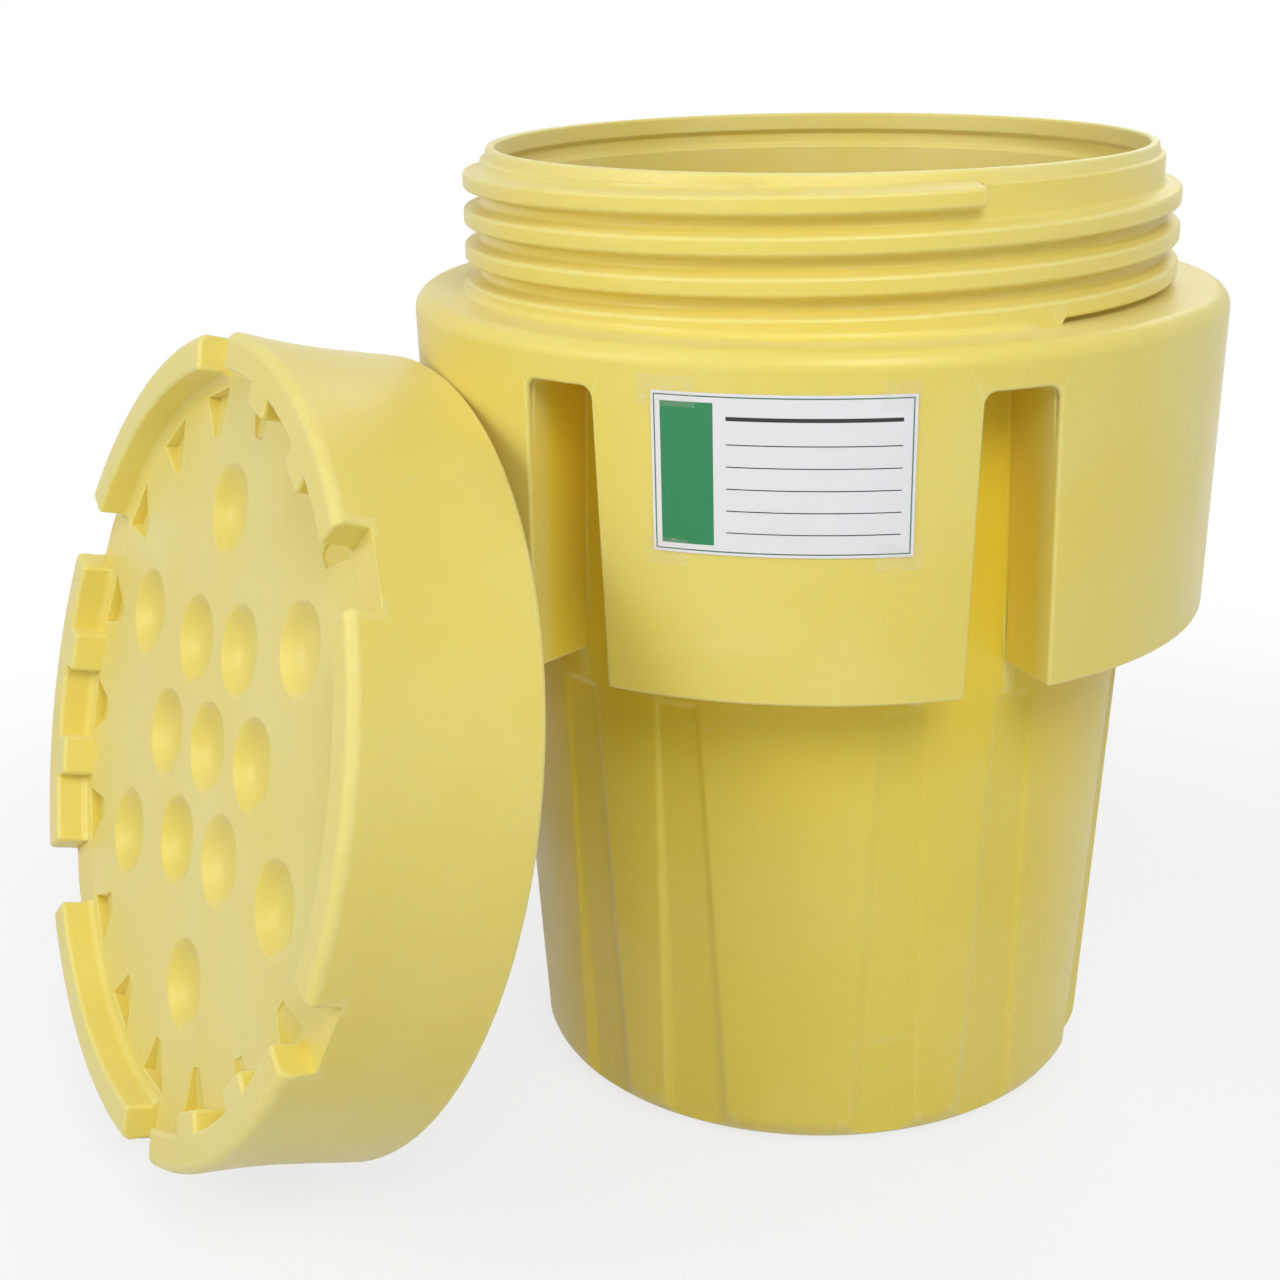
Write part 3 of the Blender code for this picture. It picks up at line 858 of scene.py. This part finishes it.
def roundNotches(lid, l, field, inner):
    n = notchForm
    half = radians(n["angle"]) / 2 + n["turnNear"]
    floor = field + n["sill"]

    def atNotch(place):
        away = awayFrom(place, evenBearings(n["bearing"], n["count"]))
        return away < half and place.z > field and radiusOf(place) > inner - l["wallNear"]

    def cutEdge(edge, onFloor):
        level = max(levels(edge)) < floor + pickTolerance
        sharp = outwardEdge(edge, n["sharpAngle"])
        return level == onFloor and sharp and all(atNotch(vert.co) for vert in edge.verts)

    roundLidEdges(lid, lambda edge: cutEdge(edge, False), l["cutRounding"])
    roundLidEdges(lid, lambda edge: cutEdge(edge, True), l["sillRounding"])


def roundFieldRims(lid, l, field, width):
    def rimEdge(edge):
        level = all(abs(height - field) < l["rimNear"] for height in levels(edge))
        return level and outwardEdge(edge, l["rimAngle"])

    roundLidEdges(lid, rimEdge, width)


def lidPlace(l):
    # The lid leans on the drum over its tipping line
    joint = frame["joints"][0]
    pivot = Vector(joint["pos_m"])
    across = Vector(joint["axis"]).normalized()
    lean = radians(joint["range_deg"][1] - 90)
    outward = Vector((across.y, -across.x, 0))
    normal = outward * cos(lean) + Vector((0, 0, sin(lean)))
    rise = normal.cross(across)
    edge = l["edgeRounding"]
    slant = ((l["height"] - edge) * sin(lean) + (l["radius"] - edge) * cos(lean) + edge) / cos(lean)
    centre = pivot + rise * slant - normal * l["height"]
    place = Matrix((across, rise, normal)).transposed().to_4x4()
    place.translation = centre
    return place


def leanOnDrum(piece, l):
    makeActive(piece)
    piece.matrix_world = lidPlace(l)
    fixPlace()


def buildLid(finish):
    l = lidForm
    field = l["height"] - l["fieldDepth"]
    inner = l["radius"] - l["bandWidth"]
    # Columns keep clear of the notches' sides
    start = radians(notchForm["bearing"]) + pi / l["columns"] - pi / 2
    lid = turnRings("lidShell", lidRings(l), l["columns"], start=start)
    addLugs(lid, l, field, inner)
    roundLugs(lid, l, field, inner)
    cutNotches(lid, l, field, inner)
    roundNotches(lid, l, field, inner)
    cutPockets(lid, field, inner)
    roundFieldRims(lid, l, field, pocketForm["rimRounding"])
    cutDimples(lid, field)
    roundFieldRims(lid, l, field, dimpleForm["rimRounding"])
    t = lidThread
    ridge = helixRidge("lid thread", dict(t, root=l["bore"], pitch=threadForm["pitch"],
                                          columns=l["columns"], endBearing=radians(t["endBearing"])))
    combine(lid, ridge, "UNION")
    mergeClose(lid)
    markEdges(lid)
    smoothFinish(lid)
    leanOnDrum(lid, l)
    dress(lid, finish, "lid", "lid")


# Gasket

gasketForm = {"columns": 96, "width": 0.0165, "thickness": 0.0062, "seatGap": 0.0003, "rounding": 0.0014}


def buildGasket(finish):
    g = gasketForm
    l = lidForm
    top = l["height"] - l["fieldDepth"] - l["topThickness"] + l["grooveDepth"] - g["seatGap"]
    foot = top - g["thickness"]
    inner = l["gasketRadius"] - g["width"] / 2
    outer = inner + g["width"]
    corners = [(outer, top), (outer, foot), (inner, foot), (inner, top)]
    rings = [(*corner, g["rounding"]) for corner in corners]
    ring = turnRings("gasketRing", rings, g["columns"], closed=True)
    smoothFinish(ring)
    leanOnDrum(ring, l)
    dress(ring, finish, "lid_gasket", "lid")


# Label and the tape over its corners

labelForm = {
    "width": 0.205,
    "height": 0.128,
    "topDrop": 0.033,
    "gap": 0.0003,
    "thickness": 0.0005,
    "ripple": 0.0002,
}

tapeForm = {
    "overlap": 0.012,
    "gap": 0.0011,
    "thickness": 0.0004,
    "sizes": {
        "label_tape_top_left": (0.048, 0.024),
        "label_tape_top_right": (0.030, 0.022),
        "label_tape_bottom_left": (0.034, 0.022),
        "label_tape_bottom_right": (0.036, 0.022),
    },
}

sheetForm = {"cell": (0.004, 0.006), "fewestCells": 4, "waves": (11, 7), "phases": (1.3, 0.4)}


def skirtAt(height):
    d = drumForm
    climb = (height - d["ledgeHeight"]) / (d["deckHeight"] - d["ledgeHeight"])
    return d["skirtRadius"] + (d["shoulderRadius"] - d["skirtRadius"]) * climb


def wrapSheet(name, sides, heights, form, ripple=0):
    # A flat grid laid on the skirt, which keeps its flat map for the print
    left, right = sides
    low, high = heights
    f = sheetForm
    across = max(f["fewestCells"], round((right - left) / f["cell"][0]))
    upright = max(f["fewestCells"], round((high - low) / f["cell"][1]))
    pickNothing()
    bpy.ops.mesh.primitive_grid_add(x_subdivisions=across, y_subdivisions=upright, size=1, calc_uvs=True)
    sheet = bpy.context.object
    sheet.name = name
    middle = skirtAt((low + high) / 2)
    for vert in sheet.data.vertices:
        along, rise = vert.co.x + 0.5, vert.co.y + 0.5
        height = low + (high - low) * rise
        bearing = -pi / 2 + (left + (right - left) * along) / middle
        swells = [sin(count * share + phase)
                  for count, share, phase in zip(f["waves"], (along, rise), f["phases"])]
        wave = 0.5 + 0.5 * swells[0] * swells[1]
        radius = skirtAt(height) + form["gap"] + ripple * wave
        vert.co = (radius * cos(bearing), radius * sin(bearing), height)
    body = sheet.modifiers.new("thickness", "SOLIDIFY")
    body.thickness = form["thickness"]
    body.offset = 1
    makeActive(sheet)
    bpy.ops.object.modifier_apply(modifier=body.name)
    smoothFinish(sheet)
    return sheet


def buildLabel(paper, film):
    top = drumForm["deckHeight"] - labelForm["topDrop"]
    foot = top - labelForm["height"]
    half = labelForm["width"] / 2
    label = wrapSheet("printedLabel", (-half, half), (foot, top), labelForm, labelForm["ripple"])
    dress(label, paper, "label", "drum")
    for node, (width, height) in tapeForm["sizes"].items():
        side = tapeForm["overlap"] - half if node.endswith("left") else half - tapeForm["overlap"]
        level = top if "top" in node else foot
        tape = wrapSheet(node.replace("label_", ""), (side - width / 2, side + width / 2),
                         (level - height / 2, level + height / 2), tapeForm)
        dress(tape, film, node, "drum")


# Finishes

def addNode(tree, kind, values, **settings):
    # A value is a number, a colour or another node's output
    node = tree.nodes.new("ShaderNode" + kind)
    for setting, value in settings.items():
        setattr(node, setting, value)
    for socket, value in values.items():
        if isinstance(value, bpy.types.NodeSocket):
            tree.links.new(value, node.inputs[socket])
        else:
            node.inputs[socket].default_value = value
    return node


def noise(tree, place, scale, detail, roughness=0.5):
    values = {"Vector": place, "Scale": scale, "Detail": detail, "Roughness": roughness}
    return addNode(tree, "TexNoise", values).outputs["Fac"]


def spread(tree, value, low, high, toLow=0.0, toHigh=1.0):
    values = {"Value": value, "From Min": low, "From Max": high, "To Min": toLow, "To Max": toHigh}
    return addNode(tree, "MapRange", values, interpolation_type="SMOOTHSTEP").outputs["Result"]


def mottle(tree, place, scale, detail, low, high, least=0.0, most=1.0, roughness=0.5):
    return spread(tree, noise(tree, place, scale, detail, roughness), low, high, least, most)


def sums(tree, operation, first, second):
    return addNode(tree, "Math", {0: first, 1: second}, operation=operation).outputs[0]


def mixColour(tree, share, first, second):
    values = {"Factor": share, 6: first, 7: second}
    return addNode(tree, "Mix", values, data_type="RGBA").outputs[2]


def newGroup(name, given, made):
    tree = bpy.data.node_groups.new(name, "ShaderNodeTree")
    for label, kind in given.items():
        tree.interface.new_socket(label, in_out="INPUT", socket_type="NodeSocket" + kind)
    for label, kind in made.items():
        tree.interface.new_socket(label, in_out="OUTPUT", socket_type="NodeSocket" + kind)
    return tree, tree.nodes.new("NodeGroupInput").outputs, tree.nodes.new("NodeGroupOutput").inputs


def useGroup(tree, group, values):
    return addNode(tree, "Group", values, node_tree=group).outputs


def addRelief(tree, shader, height, distance, strength):
    bump = addNode(tree, "Bump", {"Height": height, "Distance": distance, "Strength": strength})
    tree.links.new(bump.outputs[0], shader["Normal"])


def newMaterial(name, constants):
    material = bpy.data.materials.new(name)
    material.use_nodes = True
    tree = material.node_tree
    shader = tree.nodes["Principled BSDF"]
    for socket, value in constants.items():
        shader.inputs[socket].default_value = value
    return material, tree, shader.inputs


skinLook = {
    "cloud": {"scale": 6.5, "detail": 4, "low": 0.34, "high": 0.70},
    "flecks": {"scale": 330, "detail": 2, "low": 0.45, "high": 0.80, "most": 0.16},
    "gloss": {"scale": 12, "detail": 3, "low": 0.30, "high": 0.70, "least": -0.05, "most": 0.06},
    # Scale, detail and height
    "swell": (5, 1, 0.5),
    "peel": (230, 2, 0.045),
    "grain": (1300, 2, 0.010),
}


def mouldedSkin(s):
    # Moulded polyethylene: cloudy pigment, orange peel and slow shrinkage waves
    tree, given, made = newGroup(
        "moulded skin", {"Place": "Vector", "Colour": "Color", "Pale": "Color", "Roughness": "Float"},
        {"Colour": "Color", "Roughness": "Float", "Height": "Float"})
    place = given["Place"]
    share = sums(tree, "MAXIMUM", mottle(tree, place, **s["cloud"]), mottle(tree, place, **s["flecks"]))
    tree.links.new(mixColour(tree, share, given["Colour"], given["Pale"]), made["Colour"])
    patches = mottle(tree, place, **s["gloss"])
    tree.links.new(sums(tree, "ADD", given["Roughness"], patches), made["Roughness"])
    swell, peel, grain = [sums(tree, "MULTIPLY", noise(tree, place, scale, detail), height)
                          for scale, detail, height in (s["swell"], s["peel"], s["grain"])]
    tree.links.new(sums(tree, "ADD", sums(tree, "ADD", swell, peel), grain), made["Height"])
    return tree


wearAndHighlightLook = {
    "streakScale": (7, 7, 90),
    "streaks": {"scale": 1, "detail": 5, "roughness": 0.6, "low": 0.60, "high": 0.74},
    "areas": {"scale": 4.2, "detail": 2, "low": 0.52, "high": 0.66, "most": 0.45},
    # Paler rims on rounded edges: partly wear, partly a painted highlight
    "rimWearAndHighlight": {"scale": 85, "detail": 3, "low": 0.34, "high": 0.62, "least": 0.30, "most": 0.58},
    "smudges": {"scale": 17, "detail": 5, "roughness": 0.62, "low": 0.46, "high": 0.78, "most": 0.10},
    "dirtHeight": 0.16,
    "duller": 0.10,
}


def handlingWearAndHighlight(w):
    # Rubbed edges, partly a painted highlight along rounded edges, level scuffs and a little floor dirt low
    # down
    tree, given, made = newGroup(
        "handling wear", {"Place": "Vector", "Colour": "Color", "Roughness": "Float", "Edge": "Float",
                          "RubbedAndHighlight": "Color", "Dirt": "Color"},
        {"Colour": "Color", "Roughness": "Float"})
    place = given["Place"]
    flat = addNode(tree, "Mapping", {"Vector": place, "Scale": w["streakScale"]}).outputs[0]
    scuffs = sums(tree, "MULTIPLY", mottle(tree, flat, **w["streaks"]), mottle(tree, place, **w["areas"]))
    # Rounded edges are made paler: partly wear, partly a painted highlight
    rimWearAndHighlight = sums(tree, "MULTIPLY", given["Edge"], mottle(tree, place, **w["rimWearAndHighlight"]))
    rubbedAndHighlighted = sums(tree, "MAXIMUM", scuffs, rimWearAndHighlight)
    colour = mixColour(tree, rubbedAndHighlighted, given["Colour"], given["RubbedAndHighlight"])
    height = addNode(tree, "SeparateXYZ", {"Vector": place}).outputs["Z"]
    low = spread(tree, height, 0.0, w["dirtHeight"], 1, 0)
    smudges = mottle(tree, place, **w["smudges"])
    colour = mixColour(tree, sums(tree, "MULTIPLY", low, smudges), colour, given["Dirt"])
    tree.links.new(colour, made["Colour"])
    duller = sums(tree, "MULTIPLY", rubbedAndHighlighted, w["duller"])
    tree.links.new(sums(tree, "ADD", given["Roughness"], duller), made["Roughness"])
    return tree


plasticLook = {
    "colour": (0.89, 0.745, 0.150, 1),
    "paleColour": (0.90, 0.775, 0.205, 1),
    # Painted shade: a deeper, more saturated colour for the slots and the body under the skirt
    "paintedShadeColour": (0.90, 0.705, 0.040, 1),
    "paintedShadePale": (0.90, 0.725, 0.070, 1),
    # Painted light: a paler colour for the inside of the neck
    "paintedLightInsideColour": (0.91, 0.805, 0.290, 1),
    # Paler colour for scuffs and for rounded edges, where it is partly a painted highlight
    "rubbedAndHighlightColour": (0.92, 0.82, 0.30, 1),
    "dirtColour": (0.40, 0.32, 0.12, 1),
    "roughness": 0.40,
    "relief": (0.001, 1),  # distance and strength
    "fixed": {
        "Subsurface Weight": 0.25,
        "Subsurface Radius": (1, 0.55, 0.12),
        "Subsurface Scale": 0.010,
        "Sheen Weight": 0.30,
        "Sheen Roughness": 0.45,
    },
}

# Where the drum's colour gets painted shade and painted light
paintedShadingForm = {
    "slotDepth": (0.008, 0.030),
    "deckDrop": (0.020, 0.030),
    "bodyDrop": 0.16,
    "bodyShare": 0.5,
    "neckInside": (0.2965, 0.300),
}


def paintedShadingOfDrum(tree, place, colour, pale, p):
    # Painted shade: slots and the body under the skirt get a deeper colour where shade falls, and painted
    # light makes the inside of the neck paler
    s = paintedShadingForm
    d = drumForm
    split = addNode(tree, "SeparateXYZ", {"Vector": place}).outputs
    level = addNode(tree, "CombineXYZ", {"X": split["X"], "Y": split["Y"]}).outputs[0]
    radius = addNode(tree, "VectorMath", {0: level}, operation="LENGTH").outputs["Value"]
    within = spread(tree, radius, *[d["skirtRadius"] - depth for depth in reversed(s["slotDepth"])], 1, 0)
    below = spread(tree, split["Z"], *[d["deckHeight"] - drop for drop in reversed(s["deckDrop"])], 1, 0)
    share = spread(tree, split["Z"], d["ledgeHeight"] - s["bodyDrop"], d["ledgeHeight"], s["bodyShare"], 1)
    # Painted shade mask: the slots, and the body under the skirt, at half strength low down and full at the
    # ledge
    paintedShading = sums(tree, "MULTIPLY", sums(tree, "MULTIPLY", within, below), share)
    # Painted light mask: the inside of the neck above the deck
    neck = sums(tree, "SUBTRACT", spread(tree, radius, *s["neckInside"], 1, 0), below)
    colour = mixColour(tree, neck, mixColour(tree, paintedShading, colour, p["paintedShadeColour"]), p["paintedLightInsideColour"])
    return colour, mixColour(tree, paintedShading, pale, p["paintedShadePale"])


def polyethylene(name, skin, wearAndHighlight, p, paintedShading=None):
    material, tree, shader = newMaterial(name, p["fixed"])
    place = addNode(tree, "TexCoord", {}).outputs["Object"]
    edge = addNode(tree, "Attribute", {}, attribute_name="edgeWearAndHighlight").outputs["Fac"]
    colour, pale = p["colour"], p["paleColour"]
    # The drum's colour can take painted shade and painted light
    if paintedShading:
        colour, pale = paintedShading(tree, place, colour, pale, p)
    base = useGroup(tree, skin, {"Place": place, "Colour": colour, "Pale": pale, "Roughness": p["roughness"]})
    wornAndHighlighted = useGroup(tree, wearAndHighlight, {"Place": place, "Colour": base["Colour"], "Roughness": base["Roughness"],
                                 "Edge": edge, "RubbedAndHighlight": p["rubbedAndHighlightColour"], "Dirt": p["dirtColour"]})
    tree.links.new(wornAndHighlighted["Colour"], shader["Base Color"])
    tree.links.new(wornAndHighlighted["Roughness"], shader["Roughness"])
    addRelief(tree, shader, base["Height"], *p["relief"])
    return material


rubberLook = {
    "colour": (0.022, 0.022, 0.023, 1),
    "bloomColour": (0.075, 0.074, 0.070, 1),
    "specular": 0.35,
    "bloom": {"scale": 60, "detail": 4, "low": 0.42, "high": 0.75, "most": 0.7},
    "gloss": {"scale": 35, "detail": 3, "low": 0.3, "high": 0.7, "least": 0.55, "most": 0.72},
    "pores": {"scale": 900, "detail": 3},
    "relief": (0.0001, 0.6),
}


def sealRubber(r):
    material, tree, shader = newMaterial("seal rubber", {"Specular IOR Level": r["specular"]})
    place = addNode(tree, "TexCoord", {}).outputs["Object"]
    bloom = mottle(tree, place, **r["bloom"])
    tree.links.new(mixColour(tree, bloom, r["colour"], r["bloomColour"]), shader["Base Color"])
    tree.links.new(mottle(tree, place, **r["gloss"]), shader["Roughness"])
    addRelief(tree, shader, noise(tree, place, **r["pores"]), *r["relief"])
    return material


# Label print: a plain border, a side band and ruled lines, in metres from the lower left corner
labelLook = {
    "paper": (0.91, 0.90, 0.94, 1),
    "aged": (0.87, 0.86, 0.86, 1),
    "green": (0.035, 0.27, 0.11, 1),
    "borderGreen": (0.09, 0.20, 0.15, 1),
    "ink": (0.035, 0.033, 0.035, 1),
    "borderInset": 0.0022,
    "borderWidth": 0.0011,
    "bandSides": (0.0075, 0.0500),
    "bandLevels": (0.0075, 0.1205),
    "ruleSides": (0.0600, 0.1945),
    "ruleLevels": (0.0180, 0.0355, 0.0530, 0.0705, 0.0880),
    "ruleWidth": 0.0009,
    "headLevel": 0.1070,
    "headWidth": 0.0032,
    "specular": 0.4,
    "ageing": {"scale": 22, "detail": 4, "low": 0.40, "high": 0.75, "most": 0.35},
    "gloss": {"scale": 30, "detail": 3, "low": 0.3, "high": 0.7, "least": 0.36, "most": 0.50},
    "fibres": {"scale": 700, "detail": 3},
    "relief": (0.0001, 0.35),
}


def labelPaper(p):
    material, tree, shader = newMaterial("label paper", {"Specular IOR Level": p["specular"]})
    width, height = labelForm["width"], labelForm["height"]
    coordinates = addNode(tree, "TexCoord", {}).outputs
    split = addNode(tree, "SeparateXYZ", {"Vector": coordinates["UV"]}).outputs
    along = sums(tree, "MULTIPLY", split["X"], width)
    rise = sums(tree, "MULTIPLY", split["Y"], height)

    def panel(left, right, low, high):
        inside = sums(tree, "MULTIPLY", sums(tree, "GREATER_THAN", along, left),
                      sums(tree, "LESS_THAN", along, right))
        level = sums(tree, "MULTIPLY", sums(tree, "GREATER_THAN", rise, low),
                     sums(tree, "LESS_THAN", rise, high))
        return sums(tree, "MULTIPLY", inside, level)

    place = coordinates["Object"]
    colour = mixColour(tree, mottle(tree, place, **p["ageing"]), p["paper"], p["aged"])
    outside = p["borderInset"]
    within = outside + p["borderWidth"]
    border = sums(tree, "SUBTRACT", panel(outside, width - outside, outside, height - outside),
                  panel(within, width - within, within, height - within))
    colour = mixColour(tree, border, colour, p["borderGreen"])
    colour = mixColour(tree, panel(*p["bandSides"], *p["bandLevels"]), colour, p["green"])
    rules = panel(*p["ruleSides"], p["headLevel"], p["headLevel"] + p["headWidth"])
    for level in p["ruleLevels"]:
        rules = sums(tree, "MAXIMUM", rules, panel(*p["ruleSides"], level, level + p["ruleWidth"]))
    colour = mixColour(tree, rules, colour, p["ink"])
    tree.links.new(colour, shader["Base Color"])
    tree.links.new(mottle(tree, place, **p["gloss"]), shader["Roughness"])
    addRelief(tree, shader, noise(tree, place, **p["fibres"]), *p["relief"])
    return material


filmLook = {
    "colour": (0.93, 0.90, 0.84, 1),
    "bubbleColour": (0.97, 0.96, 0.94, 1),
    "alpha": (0.05, 0.14),
    "specular": 0.5,
    "bubbles": {"scale": 260, "detail": 3, "low": 0.50, "high": 0.72},
    "gloss": {"scale": 45, "detail": 3, "low": 0.3, "high": 0.7, "least": 0.18, "most": 0.32},
    "creaseScale": (90, 90, 14),
    "creases": {"scale": 1, "detail": 2},
    "relief": (0.0004, 0.5),
}


def tapeFilm(f):
    material, tree, shader = newMaterial("tape film", {"Specular IOR Level": f["specular"]})
    place = addNode(tree, "TexCoord", {}).outputs["Object"]
    bubbles = mottle(tree, place, **f["bubbles"])
    tree.links.new(mixColour(tree, bubbles, f["colour"], f["bubbleColour"]), shader["Base Color"])
    tree.links.new(spread(tree, bubbles, 0, 1, *f["alpha"]), shader["Alpha"])
    tree.links.new(mottle(tree, place, **f["gloss"]), shader["Roughness"])
    drawn = addNode(tree, "Mapping", {"Vector": place, "Scale": f["creaseScale"]}).outputs[0]
    addRelief(tree, shader, noise(tree, drawn, **f["creases"]), *f["relief"])
    return material


# Camera, light and floor

white = (1, 1, 1, 1)

cameraView = {
    "focal": 58.34,
    "sensor": 36,
    "distance": 1.90035,
    "height": 1.03518,
    "pitch": 0.3240,
    "yaw": 0.0876,
    "roll": -0.0166,
    "turn": radians(4),
}


def placeCamera(v):
    forward = Vector((-sin(v["yaw"]) * cos(v["pitch"]), cos(v["yaw"]) * cos(v["pitch"]), -sin(v["pitch"])))
    level = Vector((cos(v["yaw"]), sin(v["yaw"]), 0))
    upright = level.cross(forward)
    right = cos(v["roll"]) * level + sin(v["roll"]) * upright
    up = cos(v["roll"]) * upright - sin(v["roll"]) * level
    aim = Matrix((right, up, -forward)).transposed().to_4x4()
    aim.translation = (0, -v["distance"], v["height"])
    lens = bpy.data.cameras.new("photo view")
    lens.lens = v["focal"]
    lens.sensor_width = v["sensor"]
    lens.sensor_fit = "HORIZONTAL"
    camera = bpy.data.objects.new("photo view", lens)
    bpy.context.scene.collection.objects.link(camera)
    camera.matrix_world = Matrix.Rotation(v["turn"], 4, "Z") @ aim
    bpy.context.scene.camera = camera


lightLook = {
    "fill": 0.37,
    "aim": (-0.1, -0.1, 0.45),
    "softboxes": {
        "left softbox": {"place": (-2.3, -1.9, 1.9), "size": 1.6, "power": 24},
        "front softbox": {"place": (0.9, -2.4, 2.7), "size": 1.6, "power": 41},
        "back softbox": {"place": (0.6, 2.5, 2.3), "size": 2.0, "power": 16},
    },
}


def seenRays(tree):
    # Rays that see the background itself: from the camera, by reflection and through film
    path = addNode(tree, "LightPath", {}).outputs
    seen = sums(tree, "MAXIMUM", path["Is Camera Ray"], path["Is Glossy Ray"])
    return sums(tree, "MAXIMUM", seen, path["Is Transmission Ray"])


def addLight(k):
    world = bpy.data.worlds.new("white studio")
    bpy.context.scene.world = world
    world.use_nodes = True
    tree = world.node_tree
    tree.nodes.clear()
    fill = addNode(tree, "Background", {"Color": white, "Strength": k["fill"]}).outputs[0]
    backdrop = addNode(tree, "Background", {"Color": white, "Strength": 1}).outputs[0]
    mix = addNode(tree, "MixShader", {0: seenRays(tree), 1: fill, 2: backdrop}).outputs[0]
    addNode(tree, "OutputWorld", {"Surface": mix})
    for name, box in k["softboxes"].items():
        lamp = bpy.data.lights.new(name, "AREA")
        lamp.shape = "DISK"
        lamp.size = box["size"]
        lamp.energy = box["power"]
        light = bpy.data.objects.new(name, lamp)
        bpy.context.scene.collection.objects.link(light)
        light.location = box["place"]
        light.rotation_euler = (Vector(k["aim"]) - light.location).to_track_quat("-Z", "Y").to_euler()
    print("light:", len(k["softboxes"]), "softboxes")


floorLook = {
    "size": 60,
    "colour": (0.70, 0.70, 0.70, 1),
    "roughness": 0.7,
    "glowNear": 0.77,
    "fadeStart": 0.55,
    "fadeEnd": 1.7,
}


def addFloor(f):
    pickNothing()
    bpy.ops.mesh.primitive_plane_add(size=f["size"])
    floor = bpy.context.object
    floor.name = "floor"
    constants = {"Base Color": f["colour"], "Roughness": f["roughness"]}
    material, tree, shader = newMaterial("pale floor", constants)
    # Away from the object the floor runs out into the white backdrop
    place = addNode(tree, "TexCoord", {}).outputs["Object"]
    away = addNode(tree, "VectorMath", {0: place}, operation="LENGTH").outputs["Value"]
    whiter = spread(tree, away, f["fadeStart"], f["fadeEnd"], f["glowNear"], 1)
    fade = sums(tree, "MULTIPLY", whiter, seenRays(tree))
    glow = addNode(tree, "Emission", {"Color": white, "Strength": 1}).outputs[0]
    plain = tree.nodes["Principled BSDF"].outputs[0]
    mix = addNode(tree, "MixShader", {0: fade, 1: plain, 2: glow}).outputs[0]
    tree.links.new(mix, tree.nodes["Material Output"].inputs["Surface"])
    floor.data.materials.append(material)


placeCamera(cameraView)
addLight(lightLook)
addFloor(floorLook)
skin = mouldedSkin(skinLook)
wearAndHighlight = handlingWearAndHighlight(wearAndHighlightLook)
buildDrum(polyethylene("drum plastic", skin, wearAndHighlight, plasticLook, paintedShadingOfDrum))
buildLid(polyethylene("lid plastic", skin, wearAndHighlight, plasticLook))
buildGasket(sealRubber(rubberLook))
buildLabel(labelPaper(labelLook), tapeFilm(filmLook))

bpy.context.scene.view_settings.view_transform = "Standard"
